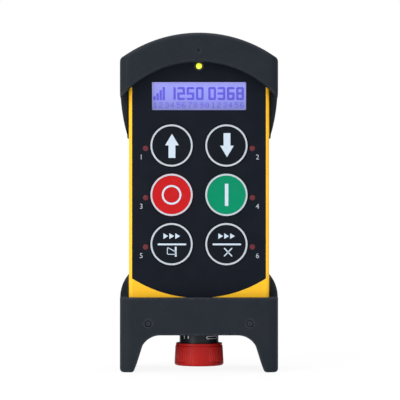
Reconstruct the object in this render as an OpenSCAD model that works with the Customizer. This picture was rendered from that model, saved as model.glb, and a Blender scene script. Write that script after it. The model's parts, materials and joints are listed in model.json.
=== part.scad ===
// Hand-held radio control: six keys, a display and a stop button, between two rubber bumpers.
// Lengths are in millimetres. The front faces -Y and +Z is up.
// The origin is on the ground, under the middle of the case.

/* [Case] */
// Width of the case
case_w = 76.1; // [74:0.1:78]
// Height of the case, up to the top of its arch
case_h = 154.1; // [152:0.1:158]
// Distance of the front face from the middle plane
case_front = 18; // [17.5:0.1:20]
// Distance of the rear face from the middle plane
case_rear = 20; // [19:0.1:22]
// Radius of the arched top
case_arch_r = 62.5; // [56:0.5:68]
// Rounding of the upright edges
case_edge_r = 2; // [1:0.1:3]
// Thickness of the side and end walls
case_wall = 2.5; // [2:0.1:3]
// Thickness of the front wall, with the recess for the foil
front_wall = 4.4; // [4.2:0.1:5]
// Thickness of the rear wall
rear_wall = 3.6; // [3.3:0.1:4]
// Distance of the joint between the shells behind the middle plane
parting = 10; // [9.5:0.1:11]

/* [Shell gasket and screws] */
// Width of the gasket between the shells
gasket_w = 1; // [0.7:0.1:1.2]
// Depth of the gasket's groove
gasket_t = 1; // [0.6:0.1:1.5]
// Distance of a shell screw from the case's side
shell_screw_side = 6.7; // [6.3:0.1:7.3]
// Height of the lowest shell screws above the case's lower end
shell_screw_low = 21.5; // [20:0.5:24]
// Height of the highest shell screws above the top row of keys
shell_screw_high = 9; // [8:0.5:10]
// Radius of a shell screw's shank
shell_screw_r = 1.4; // [1:0.1:1.6]
// Radius of a shell screw's head
shell_head_r = 2.7; // [2.4:0.1:2.8]
// Height of a shell screw's head
shell_head_h = 2; // [1.6:0.1:2.4]
// Depth of the head's seat below the rear face
shell_seat = 5.5; // [5:0.1:6]
// Length of a shell screw's shank
shell_screw_len = 12.5; // [11:0.5:14]
// Radius of a screw post in the front shell
front_post_r = 3.4; // [3:0.1:3.6]
// Radius of a screw post in the rear shell
rear_post_r = 4.4; // [4.3:0.1:4.6]

/* [Bumpers] */
// Thickness of the rubber at the case's sides
bumper_side = 4.6; // [3.5:0.1:6]
// How far the rubber stands before the case's front face
bumper_front = 7; // [5:0.1:9]
// How far the rubber stands behind the case's rear face
bumper_rear = 5; // [4.5:0.1:6]
// Rounding of the bumpers' upright edges
bumper_edge_r = 6; // [4:0.1:6.5]
// How far the sides are set back from the bumpers' front and rear
side_setback = 11; // [10:0.5:13]
// Rounding of the set back sides' corners, seen from the side
side_corner_r = 7; // [4:0.1:8]
// Gap between the rubber and the case
bumper_fit = 0.15; // [0.1:0.01:0.25]

/* [Top bumper] */
// Thickness of the rubber over the middle of the arched top
hood_top = 4.5; // [3.5:0.1:6]
// Radius of the hood's arch
hood_arch_r = 71.5; // [66:0.5:76]
// Rounding of the arched edge
hood_rim_r = 2.4; // [1.5:0.1:2.6]
// Rounding of the shoulders, seen from the front
shoulder_r = 3; // [2:0.1:4]
// Radius of the visor's arched lip
visor_r = 56.2; // [52:0.2:60]
// Drop of the visor's lip below the case's top, at the middle
visor_drop = 11.3; // [8.5:0.1:11.5]
// Drop of the place where the sides start to taper, below the case's top
taper_drop = 23.8; // [22:0.1:26]
// Radius of the taper, seen from the front
taper_r = 97; // [92:0.5:106]
// Drop of the sides' lower end below the case's top
skirt_drop = 52; // [49:0.1:52.5]
// Radius of the small dimple in the front
dimple_r = 0.9; // [0.6:0.1:1.2]
// Depth of the dimple
dimple_depth = 0.8; // [0.4:0.1:1.2]
// Drop of the dimple below the case's top
dimple_drop = 5.2; // [4.5:0.1:6]

/* [Bottom bumper] */
// Clear height of the passage between the legs
leg_h = 19.9; // [19.4:0.1:22]
// Thickness of the floor under the case
boot_floor = 4.45; // [4:0.05:6]
// Height of the front edge above the case's lower end
boot_front_h = 15.6; // [13:0.1:16.5]
// Half of the clear width between the feet
foot_inner = 35.2; // [33:0.1:36]
// Slope of a leg's inner face
leg_slope = 17.5; // [14:0.5:20]
// Rounding at the top of the passage
passage_r = 11; // [9:0.1:12]
// Rounding of a foot's outer edge
foot_edge_r = 2; // [1:0.1:3]
// Radius of the ears' tops
ear_r = 19.3; // [17:0.1:22]

/* [Bumper screws] */
// Distance of a lower bumper screw from the middle
boot_screw_x = 27.4; // [26:0.1:28.5]
// Height of a lower bumper screw above the case's lower end
boot_screw_up = 1.7; // [1.5:0.1:3]
// Distance of an upper bumper screw from the middle
hood_screw_x = 14; // [12:0.5:16]
// Drop of an upper bumper screw below the case's top
hood_screw_drop = 6.8; // [6:0.1:7.4]
// Radius of the screw's head
bumper_head_r = 1.75; // [1.5:0.05:2]
// Height of the screw's head
bumper_head_h = 1.3; // [1:0.1:1.5]
// Depth of the head's outer face in its recess
bumper_head_sunk = 0.7; // [0.4:0.1:1]
// Radius of the screw's shank
bumper_screw_r = 1.1; // [0.9:0.1:1.2]
// Length of the thread in the case
bumper_screw_grip = 8; // [7:0.5:9]
// Radius of the post that takes the thread
bumper_post_r = 2.9; // [2.5:0.1:3.2]

/* [Keypad foil] */
// Width of the case's front that shows beside the foil
foil_side = 1.9; // [1.8:0.1:2.7]
// Thickness of the foil
foil_t = 0.8; // [0.5:0.05:0.9]
// Drop of the foil's top below the case's top
foil_drop = 4.6; // [4:0.1:6]
// Height of the foil's lowest point above the case's lower end
foil_low = 15.3; // [15.2:0.1:18]
// Radius of the foil's lower edge
foil_low_r = 67.2; // [60:0.2:76]
// Gap around the foil in its recess
foil_fit = 0.1; // [0.05:0.01:0.15]

/* [Keys] */
// Distance between the two columns of keys
key_columns = 29.7; // [28.5:0.1:30.5]
// Distance between the rows of keys
key_pitch = 26.7; // [25.5:0.1:27.8]
// Height of the lowest row above the case's lower end
key_low = 44.4; // [43:0.1:45]
// Radius of a key
key_r = 11.6; // [11:0.1:12]
// Thickness of a key's disc
key_t = 2.2; // [2:0.05:2.3]
// Height of a key above the foil
key_stand = 0.6; // [0.4:0.05:0.9]
// Travel of a key
key_travel = 1; // [0.6:0.05:1.05]
// Gap around a key
key_gap = 0.3; // [0.2:0.05:0.4]
// Width of a key's rim
rim_w = 1.15; // [0.9:0.05:1.5]
// Height of the rim above the key's face
rim_h = 0.2; // [0.1:0.05:0.3]
// Radius of a key's stem
stem_r = 2.2; // [1.8:0.1:2.5]
// Gap around the stem in the front wall
stem_gap = 0.3; // [0.2:0.05:0.4]
// Radius of the snap head behind the wall
snap_r = 3; // [2.9:0.05:3.4]
// Thickness of the snap head
snap_t = 0.8; // [0.6:0.05:1]

/* [Key switches] */
// Side of a switch housing
switch_w = 6; // [5.5:0.1:7]
// Height of a switch housing
switch_h = 3.1; // [2.9:0.1:4]
// Radius of a switch plunger
plunger_r = 1.6; // [1.2:0.1:2]
// Length of a switch plunger
plunger_len = 2.4; // [2.2:0.1:2.5]
// How far a plunger stands out of its housing
plunger_out = 1.15; // [1.1:0.05:1.4]
// Clearance around a plunger
plunger_fit = 0.08; // [0.03:0.01:0.1]

/* [Display] */
// Width of the display's opening
lcd_w = 51; // [49:0.1:52.4]
// Height of the display's opening
lcd_h = 15.2; // [14:0.1:16.5]
// Drop of the display's middle below the case's top
lcd_drop = 29.5; // [29:0.1:30.5]
// Rounding of the opening's corners
lcd_corner_r = 0.5; // [0.4:0.1:1.5]
// Overlap of the window on its seat
window_lip = 1.6; // [1:0.1:1.8]
// Thickness of the window
window_t = 1; // [0.8:0.1:1.2]
// Thickness of the wall between the window and the panel
lcd_web = 1; // [0.8:0.1:1.2]
// How far the panel reaches past its opening on each side
panel_margin = 2.4; // [1.5:0.1:2.5]
// Thickness of the panel
panel_t = 1.8; // [1.5:0.1:2.2]
// Gap around the panel and the window
lcd_fit = 0.1; // [0.05:0.01:0.2]

/* [Lamps] */
// Radius of the status lamp's lens
status_r = 1.6; // [1.4:0.1:1.8]
// Drop of the status lamp below the case's top
status_drop = 13.2; // [13.1:0.1:14.2]
// Height of the status lens above the foil
status_stand = 0.3; // [0.1:0.05:0.5]
// Radius of a key's indicator lens
indicator_r = 1.5; // [1.2:0.1:1.7]
// Distance of an indicator from the middle
indicator_x = 28.9; // [28.7:0.1:29.7]
// Drop of an indicator below the middle of its key
indicator_drop = 1.4; // [0:0.1:3]
// Height of an indicator above the foil
indicator_stand = 0.1; // [0.05:0.05:0.3]
// Width of the collar that holds a lens behind the wall
lens_flange = 0.7; // [0.5:0.1:1]
// Thickness of that collar
lens_flange_t = 1; // [0.8:0.1:1.4]
// Clearance around a lens
lens_fit = 0.05; // [0.03:0.01:0.08]
// Height of a light-emitting diode on the board
led_h = 1.5; // [1.2:0.1:1.8]
// Side of a light-emitting diode
led_w = 2.6; // [2:0.1:3.2]
// Gap between a diode and its lens
led_gap = 0.3; // [0.2:0.05:0.4]

/* [Main board] */
// Thickness of the board
board_t = 1.6; // [1:0.1:2]
// Gap between the board's edge and the case's wall
board_gap = 2; // [1.6:0.1:2.4]
// Gap between the stop button's block and the board
board_lift = 2; // [1:0.1:3]
// Clearance around the posts that pass the board
board_post_gap = 0.5; // [0.3:0.1:0.8]
// Distance of the upper board screws from the middle
board_screw_x = 20; // [18.5:0.1:20.5]
// Drop of the upper board screws below the case's top
board_screw_drop = 14.1; // [13.6:0.1:14.8]
// Height of the lowest board screw above the stop button's connector
board_screw_low = 3; // [2.6:0.1:5]
// Radius of a board screw's shank
board_screw_r = 1; // [0.8:0.1:1.2]
// Radius of a board screw's head
board_head_r = 2.1; // [1.9:0.1:2.4]
// Height of a board screw's head
board_head_h = 1.4; // [1:0.1:1.6]
// Length of a board screw's shank
board_screw_len = 5.2; // [4.6:0.1:5.6]
// Radius of a board post
board_post_r = 2.5; // [2.2:0.1:2.8]
// Height of a chip
chip_h = 1.6; // [1:0.1:2]
// Width of the radio module
radio_w = 20; // [16:0.5:20]
// Height of the radio module, up the board
radio_len = 23; // [18:0.5:23.5]
// Thickness of the radio module
radio_t = 3; // [2:0.1:4]
// Distance of the radio module's and the buzzer's middles from the board's side
radio_side = 16.4; // [16.2:0.1:17.9]
// Radius of the buzzer
buzzer_r = 6.5; // [5:0.1:7]
// Height of the buzzer
buzzer_h = 5.5; // [4:0.1:6]
// Radius of the antenna's coil, at the middle of its wire
antenna_r = 2.2; // [1.8:0.1:2.4]
// Radius of the antenna's wire
antenna_wire_r = 0.4; // [0.3:0.05:0.5]
// Length of the antenna
antenna_len = 22; // [18:0.5:24]
// Drop of the antenna below the case's top
antenna_drop = 9.6; // [9:0.1:9.8]
// Width of the plug-in connectors
connector_w = 10; // [8:0.5:12]
// Height of the plug-in connectors
connector_h = 6; // [4:0.5:7]
// Depth of the stop button's connector
connector_t = 3.6; // [3:0.1:5]

/* [Stop button] */
// Travel of the stop button
stop_travel = 4; // [3:0.1:4.2]
// Gap between the cap's rim and the bumper when the button is pushed in
cap_clear = 1.4; // [0.4:0.1:1.6]
// Radius of the red cap at its lower end
cap_r = 13.5; // [13.1:0.1:14]
// Radius of the red cap at its rim
cap_rim_r = 12.7; // [12.5:0.05:13]
// Height of the red cap
cap_h = 12.3; // [12:0.1:13.5]
// Rounding of the cap's lower edge
cap_edge_r = 1.4; // [1:0.1:1.8]
// Height of the ribs on the cap
rib_h = 7; // [6:0.1:7.4]
// Radius of a rib
rib_r = 0.5; // [0.4:0.02:0.54]
// Angle between two ribs
rib_step = 6; // [5.8:0.1:6.4]
// Ribs in each of the four groups
rib_count = 8; // [6:1:9]
// Radius of the black collar
collar_r = 10.7; // [10.3:0.1:10.9]
// How far the collar reaches into the cap
collar_in = 0.8; // [0.5:0.1:1.2]
// Gap between the collar and the cap around it
collar_gap = 0.5; // [0.4:0.1:0.8]
// Gap left inside the cap and the block when the button is pushed in
stop_gap = 0.5; // [0.3:0.1:0.6]
// Radius of the collar's threaded neck
neck_r = 8; // [7.4:0.1:8.4]
// How far the neck stands out of its nut
neck_out = 0.5; // [0.3:0.1:1]
// Clearance around the neck
neck_fit = 0.1; // [0.05:0.01:0.2]
// Radius of the six-sided nut, over its corners
nut_r = 11; // [10.4:0.1:11.5]
// Thickness of the nut
nut_t = 3; // [2.5:0.1:3.5]
// Radius of the shaft
shaft_r = 3; // [2.6:0.1:3.4]
// Clearance around the shaft
shaft_fit = 0.06; // [0.03:0.01:0.08]
// Radius of the shaft's upper guide
guide_r = 2.4; // [2:0.1:2.5]
// Depth of the shaft in the cap
shaft_grip = 4; // [3:0.1:5]
// Radius of the shaft's shoulder
shoulder_rad = 6; // [5.6:0.1:6.2]
// Thickness of the shoulder
shoulder_t = 1.5; // [1:0.1:2]
// Gap between the shoulder and the neck
shoulder_gap = 0.3; // [0.2:0.05:0.5]
// Radius of the seal's section
seal_r = 0.75; // [0.6:0.05:0.9]
// Radius of the return spring, at the middle of its wire
spring_r = 4.4; // [4.2:0.1:4.8]
// Radius of the spring's wire
spring_wire_r = 0.45; // [0.35:0.05:0.5]
// Length of the return spring at rest
spring_len = 11.7; // [10:0.1:12]
// Width of the contact block
block_w = 24; // [22:0.5:28]
// Depth of the contact block
block_d = 19; // [18:0.5:21]
// Height of the contact block above its spring
block_cap = 8; // [7.5:0.1:9]
// Gap around the shoulder and the spring in the block
block_gap = 0.8; // [0.5:0.1:1]

/* [Battery compartment] */
// Radius of a round cell
cell_r = 7.1; // [7:0.05:7.2]
// Length of a round cell, with its tip
cell_len = 50.5; // [50:0.1:51]
// Radius of a cell's tip
tip_r = 2.7; // [2.4:0.1:2.8]
// Height of a cell's tip
tip_h = 1; // [0.8:0.1:1.4]
// Distance between the cells' axes
cell_pitch = 15.2; // [15:0.1:15.4]
// Gap between a cell and the tray
cell_gap = 0.35; // [0.2:0.05:0.4]
// Walls of the tray
tray_wall = 1; // [0.8:0.1:1.2]
// Thickness of the ribs between the cells
divider_t = 0.6; // [0.4:0.1:0.8]
// Height of the ribs between the cells
divider_h = 3.4; // [2.5:0.1:3.6]
// Height of the tray's lower end above the case's lower end
tray_low = 46.9; // [45:0.1:48]
// Thickness of a contact plate
plate_t = 0.5; // [0.4:0.1:0.8]
// Side of a contact plate
plate_w = 9; // [8:0.1:10]
// Length of a contact spring
contact_spring_len = 3.8; // [3.4:0.1:4.2]
// Radius of a contact spring, at the middle of its wire
contact_spring_r = 3.2; // [2.8:0.1:3.6]
// Radius of a contact spring's wire
contact_wire_r = 0.35; // [0.25:0.05:0.4]

/* [Battery door] */
// Thickness of the door
door_t = 1.6; // [1.4:0.05:1.7]
// Overlap of the door past its gasket
door_margin = 1; // [0.8:0.1:1.2]
// Length of the door past the tray at each end, for its screws
door_end = 7; // [6.6:0.1:7.4]
// Rounding of the door's corners
door_corner_r = 3; // [2:0.1:4]
// Gap around the door
door_gap = 0.3; // [0.2:0.05:0.4]
// Width of the door's gasket
door_gasket_w = 1.2; // [1:0.1:1.4]
// Thickness of the door's gasket
door_gasket_t = 0.55; // [0.4:0.05:0.6]
// Gap between the gasket and the opening's edge
door_gasket_in = 0.4; // [0.3:0.1:0.6]
// Radius of a door screw's shank
door_screw_r = 1.2; // [1:0.1:1.3]
// Radius of a door screw's head
door_head_r = 2.2; // [1.9:0.1:2.3]
// Height of a door screw's head
door_head_h = 0.8; // [0.6:0.1:0.9]
// Length of a door screw's shank behind the door
door_screw_len = 7; // [6:0.1:8]
// Radius of a door screw's post
door_post_r = 2.8; // [2.6:0.1:3]

/* [Hidden] */
// Round faces are drawn with this many sides
$fn = 72;
// Overrun of every cut
over = 1;
// Clearance of a screw in its hole
screw_fit = 0.05;
// Play of faces that are seated on each other across a moving joint
seat_gap = 0.05;
// Play left under a moving piece at the end of its travel
end_gap = 0.2;
// How far the rounding of the skirts runs past their lower face
run_past = 0.05;
// Ground level
ground = 0;

// Heights
case_low = leg_h + boot_floor + bumper_fit;
case_top = case_low + case_h;
case_arch_z = case_top - case_arch_r;
key_low_z = case_low + key_low;
key_top_z = key_low_z + 2 * key_pitch;
lcd_z = case_top - lcd_drop;
status_z = case_top - status_drop;

// Distances from the middle, to the sides
shell_screw_x = case_w / 2 - shell_screw_side;
foil_half = case_w / 2 - foil_side;
board_half = case_w / 2 - case_wall - board_gap;
radio_x = board_half - radio_side;

// Depths, from the front to the rear
front_y = -case_front;
inner_front_y = front_y + front_wall;
inner_rear_y = case_rear - rear_wall;
key_face_y = front_y - key_stand;
key_back_y = key_face_y + key_t;
pocket_y = key_back_y + key_travel + end_gap;
snap_y = inner_front_y + end_gap;
stem_end_y = snap_y + snap_t;
switch_y = stem_end_y + plunger_out;
board_y = switch_y + switch_h;
board_back_y = board_y + board_t;
window_y = front_y + foil_t;
web_y = window_y + window_t;
panel_y = web_y + lcd_web;
led_y = board_y - led_h;
lens_end_y = led_y - led_gap;

// Bumpers
bumper_half = case_w / 2 + bumper_fit + bumper_side;
bumper_front_y = front_y - bumper_front;
bumper_rear_y = case_rear + bumper_rear;
hood_arch_z = case_top + hood_top - hood_arch_r;
visor_z = case_top - visor_drop - visor_r;
boot_top_z = case_low + boot_front_h;
side_front_y = bumper_front_y + side_setback;
side_rear_y = bumper_rear_y - side_setback;
skirt_z = case_top - skirt_drop;
ear_x = bumper_half - ear_r;
ear_in = case_w / 2 + bumper_fit - ear_x;
ear_top_z = boot_top_z + sqrt(ear_r * ear_r - ear_in * ear_in);
boot_screw_z = case_low + boot_screw_up;
hood_screw_z = case_top - hood_screw_drop;

// Stop button
cap_rim_z = leg_h - stop_travel - cap_clear;
cap_low_z = cap_rim_z - cap_h;
collar_low_z = cap_rim_z - collar_in;
cap_floor_z = collar_low_z - stop_travel - stop_gap;
nut_z = case_low + case_wall;
neck_top_z = nut_z + nut_t + neck_out;
shoulder_z = neck_top_z + shoulder_gap;
spring_z = shoulder_z + shoulder_t;
block_roof_z = spring_z + spring_len;
block_top_z = block_roof_z + block_cap;
seal_z = (collar_low_z + case_low) / 2;

// Board
board_low_z = block_top_z + board_lift;
shell_screw_heights = [
    case_low + shell_screw_low,
    key_low_z + key_pitch / 2,
    key_top_z + shell_screw_high
];
board_screw_places = [
    [-board_screw_x, case_top - board_screw_drop],
    [board_screw_x, case_top - board_screw_drop],
    [0, key_low_z + 1.5 * key_pitch],
    [0, block_top_z + connector_h + board_screw_low]
];
// Chips as shares of the board's half width and of the key field's height: place, then sides
chip_shares = [
    [-0.45, 0.55, 0.3, 0.19],
    [0.45, 0.68, 0.22, 0.13],
    [0.5, 0.3, 0.36, 0.16],
    [-0.5, 0.22, 0.18, 0.1]
];

// Battery compartment
cell_y = inner_rear_y - cell_gap - cell_r;
tray_floor_y = cell_y - cell_r - cell_gap;
tray_half = cell_pitch + cell_r + cell_gap;
tray_len = cell_len + contact_spring_len + 2 * plate_t;
tray_low_z = case_low + tray_low;
tray_mid_z = tray_low_z + tray_wall + tray_len / 2;
door_half = tray_half + door_gasket_in + door_gasket_w + door_margin;
door_len = tray_len + 2 * (tray_wall + door_end);
door_y = case_rear - door_t;
ledge_y = door_y - door_gasket_t - seat_gap;
door_screw_up = tray_len / 2 + tray_wall + door_end / 2;

// An outline drawn in X and Z, made solid from one depth to another
module slab(y_from, y_to) {
    translate([0, y_to, 0])
        rotate([90, 0, 0])
            linear_extrude(y_to - y_from)
                children();
}

// A round bar along Y
module rod(x, z, r, y_from, y_to) {
    translate([x, y_to, z])
        rotate([90, 0, 0])
            cylinder(r = r, h = y_to - y_from);
}

// A round bar along Z, on the stop button's axis
module post(r, z_from, z_to) {
    translate([0, 0, z_from])
        cylinder(r = r, h = z_to - z_from);
}

// A box given by its width, its depths and its heights
module brick(w, y_from, y_to, z_from, z_to, x = 0) {
    translate([x - w / 2, y_from, z_from])
        cube([w, y_to - y_from, z_to - z_from]);
}

// A rectangle with round corners, about the origin
module round_rect(w, h, r) {
    square([w - 2 * r, h], center = true);
    square([w, h - 2 * r], center = true);
    for (sx = [-1, 1], sz = [-1, 1])
        translate([sx * (w / 2 - r), sz * (h / 2 - r)])
            circle(r);
}

// An upright band with an arched top
module arched(half_w, low, arch_r, arch_z) {
    intersection() {
        translate([-half_w, low])
            square([2 * half_w, arch_z + arch_r + over - low]);
        union() {
            translate([0, arch_z])
                circle(arch_r);
            translate([-half_w - over, low - over])
                square([2 * (half_w + over), arch_z - low + over]);
        }
    }
}

// The case's outline, drawn in by an inset
module case_outline(inset) {
    arched(case_w / 2 - inset, case_low + inset, case_arch_r - inset, case_arch_z);
}

// The case's outer form, grown on all sides: an arch over a plan with round corners
module case_form(grow) {
    intersection() {
        slab(front_y - grow - over, case_rear + grow + over)
            arched(case_w / 2 + grow + over, case_low - grow, case_arch_r + grow, case_arch_z);
        translate([0, (case_rear - case_front) / 2, case_low - grow - over])
            linear_extrude(case_h + 2 * (grow + over))
                round_rect(case_w + 2 * grow, case_front + case_rear + 2 * grow, case_edge_r + grow);
    }
}

// The bumpers' plan, from one height to another
module bumper_plan(z_from, z_to) {
    translate([0, (bumper_front_y + bumper_rear_y) / 2, z_from])
        linear_extrude(z_to - z_from)
            round_rect(2 * bumper_half, bumper_rear_y - bumper_front_y, bumper_edge_r);
}

// Places of the pieces that repeat
module at_keys() {
    for (row = [0 : 2], side = [-1, 1])
        translate([side * key_columns / 2, 0, key_low_z + row * key_pitch])
            children();
}

module at_indicators() {
    for (row = [0 : 2], side = [-1, 1])
        translate([side * indicator_x, 0, key_low_z + row * key_pitch - indicator_drop])
            children();
}

module at_shell_screws() {
    for (z = shell_screw_heights, side = [-1, 1])
        translate([side * shell_screw_x, 0, z])
            children();
}

module at_board_screws() {
    for (place = board_screw_places)
        translate([place[0], 0, place[1]])
            children();
}

module at_boot_screws() {
    for (side = [-1, 1])
        translate([side * boot_screw_x, 0, boot_screw_z])
            children();
}

module at_hood_screws() {
    for (side = [-1, 1])
        translate([side * hood_screw_x, 0, hood_screw_z])
            children();
}

module at_door_screws() {
    for (end = [-1, 1])
        translate([0, 0, tray_mid_z + end * door_screw_up])
            children();
}

// Cells stand side by side, every second one upside down
module at_cells() {
    for (i = [-1 : 1])
        translate([i * cell_pitch, cell_y, tray_mid_z])
            mirror([0, 0, abs(i)])
                translate([0, 0, -tray_len / 2])
                    children();
}

// A wire wound round Z, from the ground of its own frame up to its length
function coil_point(coil_r, wire_r, pitch, turn, side_angle) = [
    (coil_r + wire_r * cos(side_angle)) * cos(turn * 360),
    (coil_r + wire_r * cos(side_angle)) * sin(turn * 360),
    turn * pitch + wire_r * sin(side_angle)
];

module coil(coil_r, wire_r, length, turns, steps = 12, sides = 6) {
    pitch = (length - 2 * (wire_r + seat_gap)) / turns;
    rings = turns * steps;
    points = [
        for (i = [0 : rings], s = [0 : sides - 1])
            coil_point(coil_r, wire_r, pitch, i / steps, s * 360 / sides)
    ];
    walls = [
        for (i = [0 : rings - 1], s = [0 : sides - 1], half = [0, 1])
            let (a = i * sides + s, b = i * sides + (s + 1) % sides)
                half == 0 ? [a, b, a + sides] : [b, b + sides, a + sides]
    ];
    first_end = [[for (s = [sides - 1 : -1 : 0]) s]];
    last_end = [[for (s = [0 : sides - 1]) rings * sides + s]];
    translate([0, 0, wire_r + seat_gap])
        polyhedron(points, concat(walls, first_end, last_end));
}

module front_shell() {
    color("gold")
        difference() {
            intersection() {
                case_form(0);
                slab(front_y - over, parting)
                    case_outline(-over);
            }
            difference() {
                slab(inner_front_y, parting + over)
                    case_outline(case_wall);
                at_shell_screws()
                    rod(0, 0, front_post_r, inner_front_y - over, parting);
                at_board_screws()
                    rod(0, 0, board_post_r, inner_front_y - over, board_y);
                at_boot_screws()
                    rod(0, 0, bumper_post_r, inner_front_y - over, front_y + bumper_screw_grip + over);
            }
            slab(front_y - over, window_y)
                foil_outline(-foil_fit);
            at_keys()
                rod(0, 0, key_r + key_gap, front_y - over, pocket_y);
            at_keys()
                rod(0, 0, stem_r + stem_gap, front_y, inner_front_y + over);
            at_indicators()
                rod(0, 0, indicator_r + lens_fit, front_y, inner_front_y + over);
            rod(0, status_z, status_r + lens_fit, front_y, inner_front_y + over);
            lcd_cut(window_lip + lcd_fit, front_y, web_y);
            lcd_cut(0, front_y, panel_y + over);
            lcd_cut(panel_margin + lcd_fit, panel_y, inner_front_y + over);
            at_shell_screws()
                rod(0, 0, shell_screw_r + screw_fit, inner_rear_y - shell_screw_len - shell_seat, parting + over);
            at_board_screws()
                rod(0, 0, board_screw_r + screw_fit, board_back_y - board_screw_len - over, board_y + over);
            at_boot_screws()
                rod(0, 0, bumper_screw_r + screw_fit, front_y - over, front_y + bumper_screw_grip);
            post(neck_r + neck_fit, case_low - over, nut_z + over);
        }
}

module lcd_cut(grow, y_from, y_to) {
    slab(y_from, y_to)
        translate([0, lcd_z])
            round_rect(lcd_w + 2 * grow, lcd_h + 2 * grow, lcd_corner_r + grow / 2);
}

module rear_shell() {
    color("gold")
        difference() {
            intersection() {
                case_form(0);
                slab(parting, case_rear + over)
                    case_outline(-over);
            }
            difference() {
                slab(parting - over, inner_rear_y)
                    case_outline(case_wall);
                at_shell_screws()
                    rod(0, 0, rear_post_r, parting, inner_rear_y + over);
                at_door_screws()
                    rod(0, 0, door_post_r, ledge_y - door_screw_len, inner_rear_y + over);
                at_boot_screws()
                    rod(0, 0, bumper_post_r, case_rear - bumper_screw_grip - over, inner_rear_y + over);
                at_hood_screws()
                    rod(0, 0, bumper_post_r, case_rear - bumper_screw_grip - over, inner_rear_y + over);
            }
            at_shell_screws()
                rod(0, 0, shell_screw_r + screw_fit, parting - over, case_rear);
            at_shell_screws()
                rod(0, 0, shell_head_r + 2 * screw_fit, case_rear - shell_seat, case_rear + over);
            slab(ledge_y, case_rear + over)
                translate([0, tray_mid_z])
                    round_rect(2 * (door_half + door_gap), door_len + 2 * door_gap, door_corner_r + door_gap);
            brick(2 * tray_half, parting, ledge_y + over, tray_mid_z - tray_len / 2, tray_mid_z + tray_len / 2);
            at_door_screws()
                rod(0, 0, door_screw_r + 2 * screw_fit, ledge_y - door_screw_len - over, case_rear);
            at_boot_screws()
                rod(0, 0, bumper_screw_r + screw_fit, case_rear - bumper_screw_grip, case_rear + over);
            at_hood_screws()
                rod(0, 0, bumper_screw_r + screw_fit, case_rear - bumper_screw_grip, case_rear + over);
            slab(parting - over, parting + gasket_t + seat_gap)
                gasket_outline(seat_gap);
        }
}

// The gasket runs in the middle of the wall
module gasket_outline(grow) {
    difference() {
        case_outline((case_wall - gasket_w) / 2 - grow);
        case_outline((case_wall + gasket_w) / 2 + grow);
    }
}

module shell_gasket() {
    color("dimgray")
        slab(parting, parting + gasket_t)
            gasket_outline(0);
}

module shell_screws() {
    color("silver")
        at_shell_screws()
            difference() {
                union() {
                    rod(0, 0, shell_head_r, case_rear - shell_seat, case_rear - shell_seat + shell_head_h);
                    rod(0, 0, shell_screw_r, case_rear - shell_seat - shell_screw_len, case_rear - shell_seat + over);
                }
                drive_recess(shell_head_r, case_rear - shell_seat + shell_head_h, shell_head_h);
            }
}

// A six-sided drive recess in a screw head whose outer face lies at a depth
module drive_recess(head_r, face_y, head_h) {
    translate([0, face_y + over, 0])
        rotate([90, 0, 0])
            cylinder(r = head_r / 2, h = head_h / 2 + over, $fn = 6);
}

// The hood's outline: round shoulders, sides that taper in at their lower ends, and a
// wedge between the shoulders that the drum closes with its arch
module hood_outline() {
    shoulder_x = bumper_half - shoulder_r;
    shoulder_reach = hood_arch_r - shoulder_r;
    shoulder_z = hood_arch_z + sqrt(shoulder_reach * shoulder_reach - shoulder_x * shoulder_x);
    spread = asin(shoulder_x / shoulder_reach);
    taper_z = case_top - taper_drop;
    translate([0, hood_arch_z])
        polygon([
            [0, 0],
            [2 * hood_arch_r * sin(spread), 2 * hood_arch_r * cos(spread)],
            [-2 * hood_arch_r * sin(spread), 2 * hood_arch_r * cos(spread)]
        ]);
    for (side = [-1, 1])
        translate([side * shoulder_x, shoulder_z])
            circle(shoulder_r);
    translate([-bumper_half, taper_z])
        square([2 * bumper_half, shoulder_z - taper_z]);
    intersection() {
        translate([-bumper_half, skirt_z])
            square([2 * bumper_half, taper_z - skirt_z + over]);
        side_tapers(taper_z);
    }
}

// The two tapering sides are the overlap of two wide circles
module side_tapers(taper_z) {
    intersection() {
        translate([bumper_half - taper_r, taper_z])
            circle(taper_r);
        translate([taper_r - bumper_half, taper_z])
            circle(taper_r);
    }
}

// A drum about the centre of the hood's arch, with its two edges rounded
module hood_drum() {
    half_d = (bumper_rear_y - bumper_front_y) / 2;
    translate([0, (bumper_front_y + bumper_rear_y) / 2, hood_arch_z])
        rotate([90, 0, 0])
            rotate_extrude() {
                translate([0, -half_d])
                    square([hood_arch_r - hood_rim_r, 2 * half_d]);
                translate([0, hood_rim_r - half_d])
                    square([hood_arch_r, 2 * (half_d - hood_rim_r)]);
                for (side = [-1, 1])
                    translate([hood_arch_r - hood_rim_r, side * (half_d - hood_rim_r)])
                        circle(hood_rim_r);
            }
}

// What rounds off a corner of the bumpers' sides, which points along Y and Z as told
module side_corner(y, z, y_way, z_way) {
    translate([0, y, z])
        mirror([0, (1 - y_way) / 2, 0])
            mirror([0, 0, (1 - z_way) / 2])
                difference() {
                    translate([-bumper_half - over, -side_corner_r, -side_corner_r])
                        cube([2 * (bumper_half + over), side_corner_r + over, side_corner_r + over]);
                    translate([-bumper_half - 2 * over, -side_corner_r, -side_corner_r])
                        rotate([0, 90, 0])
                            cylinder(r = side_corner_r, h = 2 * bumper_half + 4 * over);
                }
}

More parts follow.
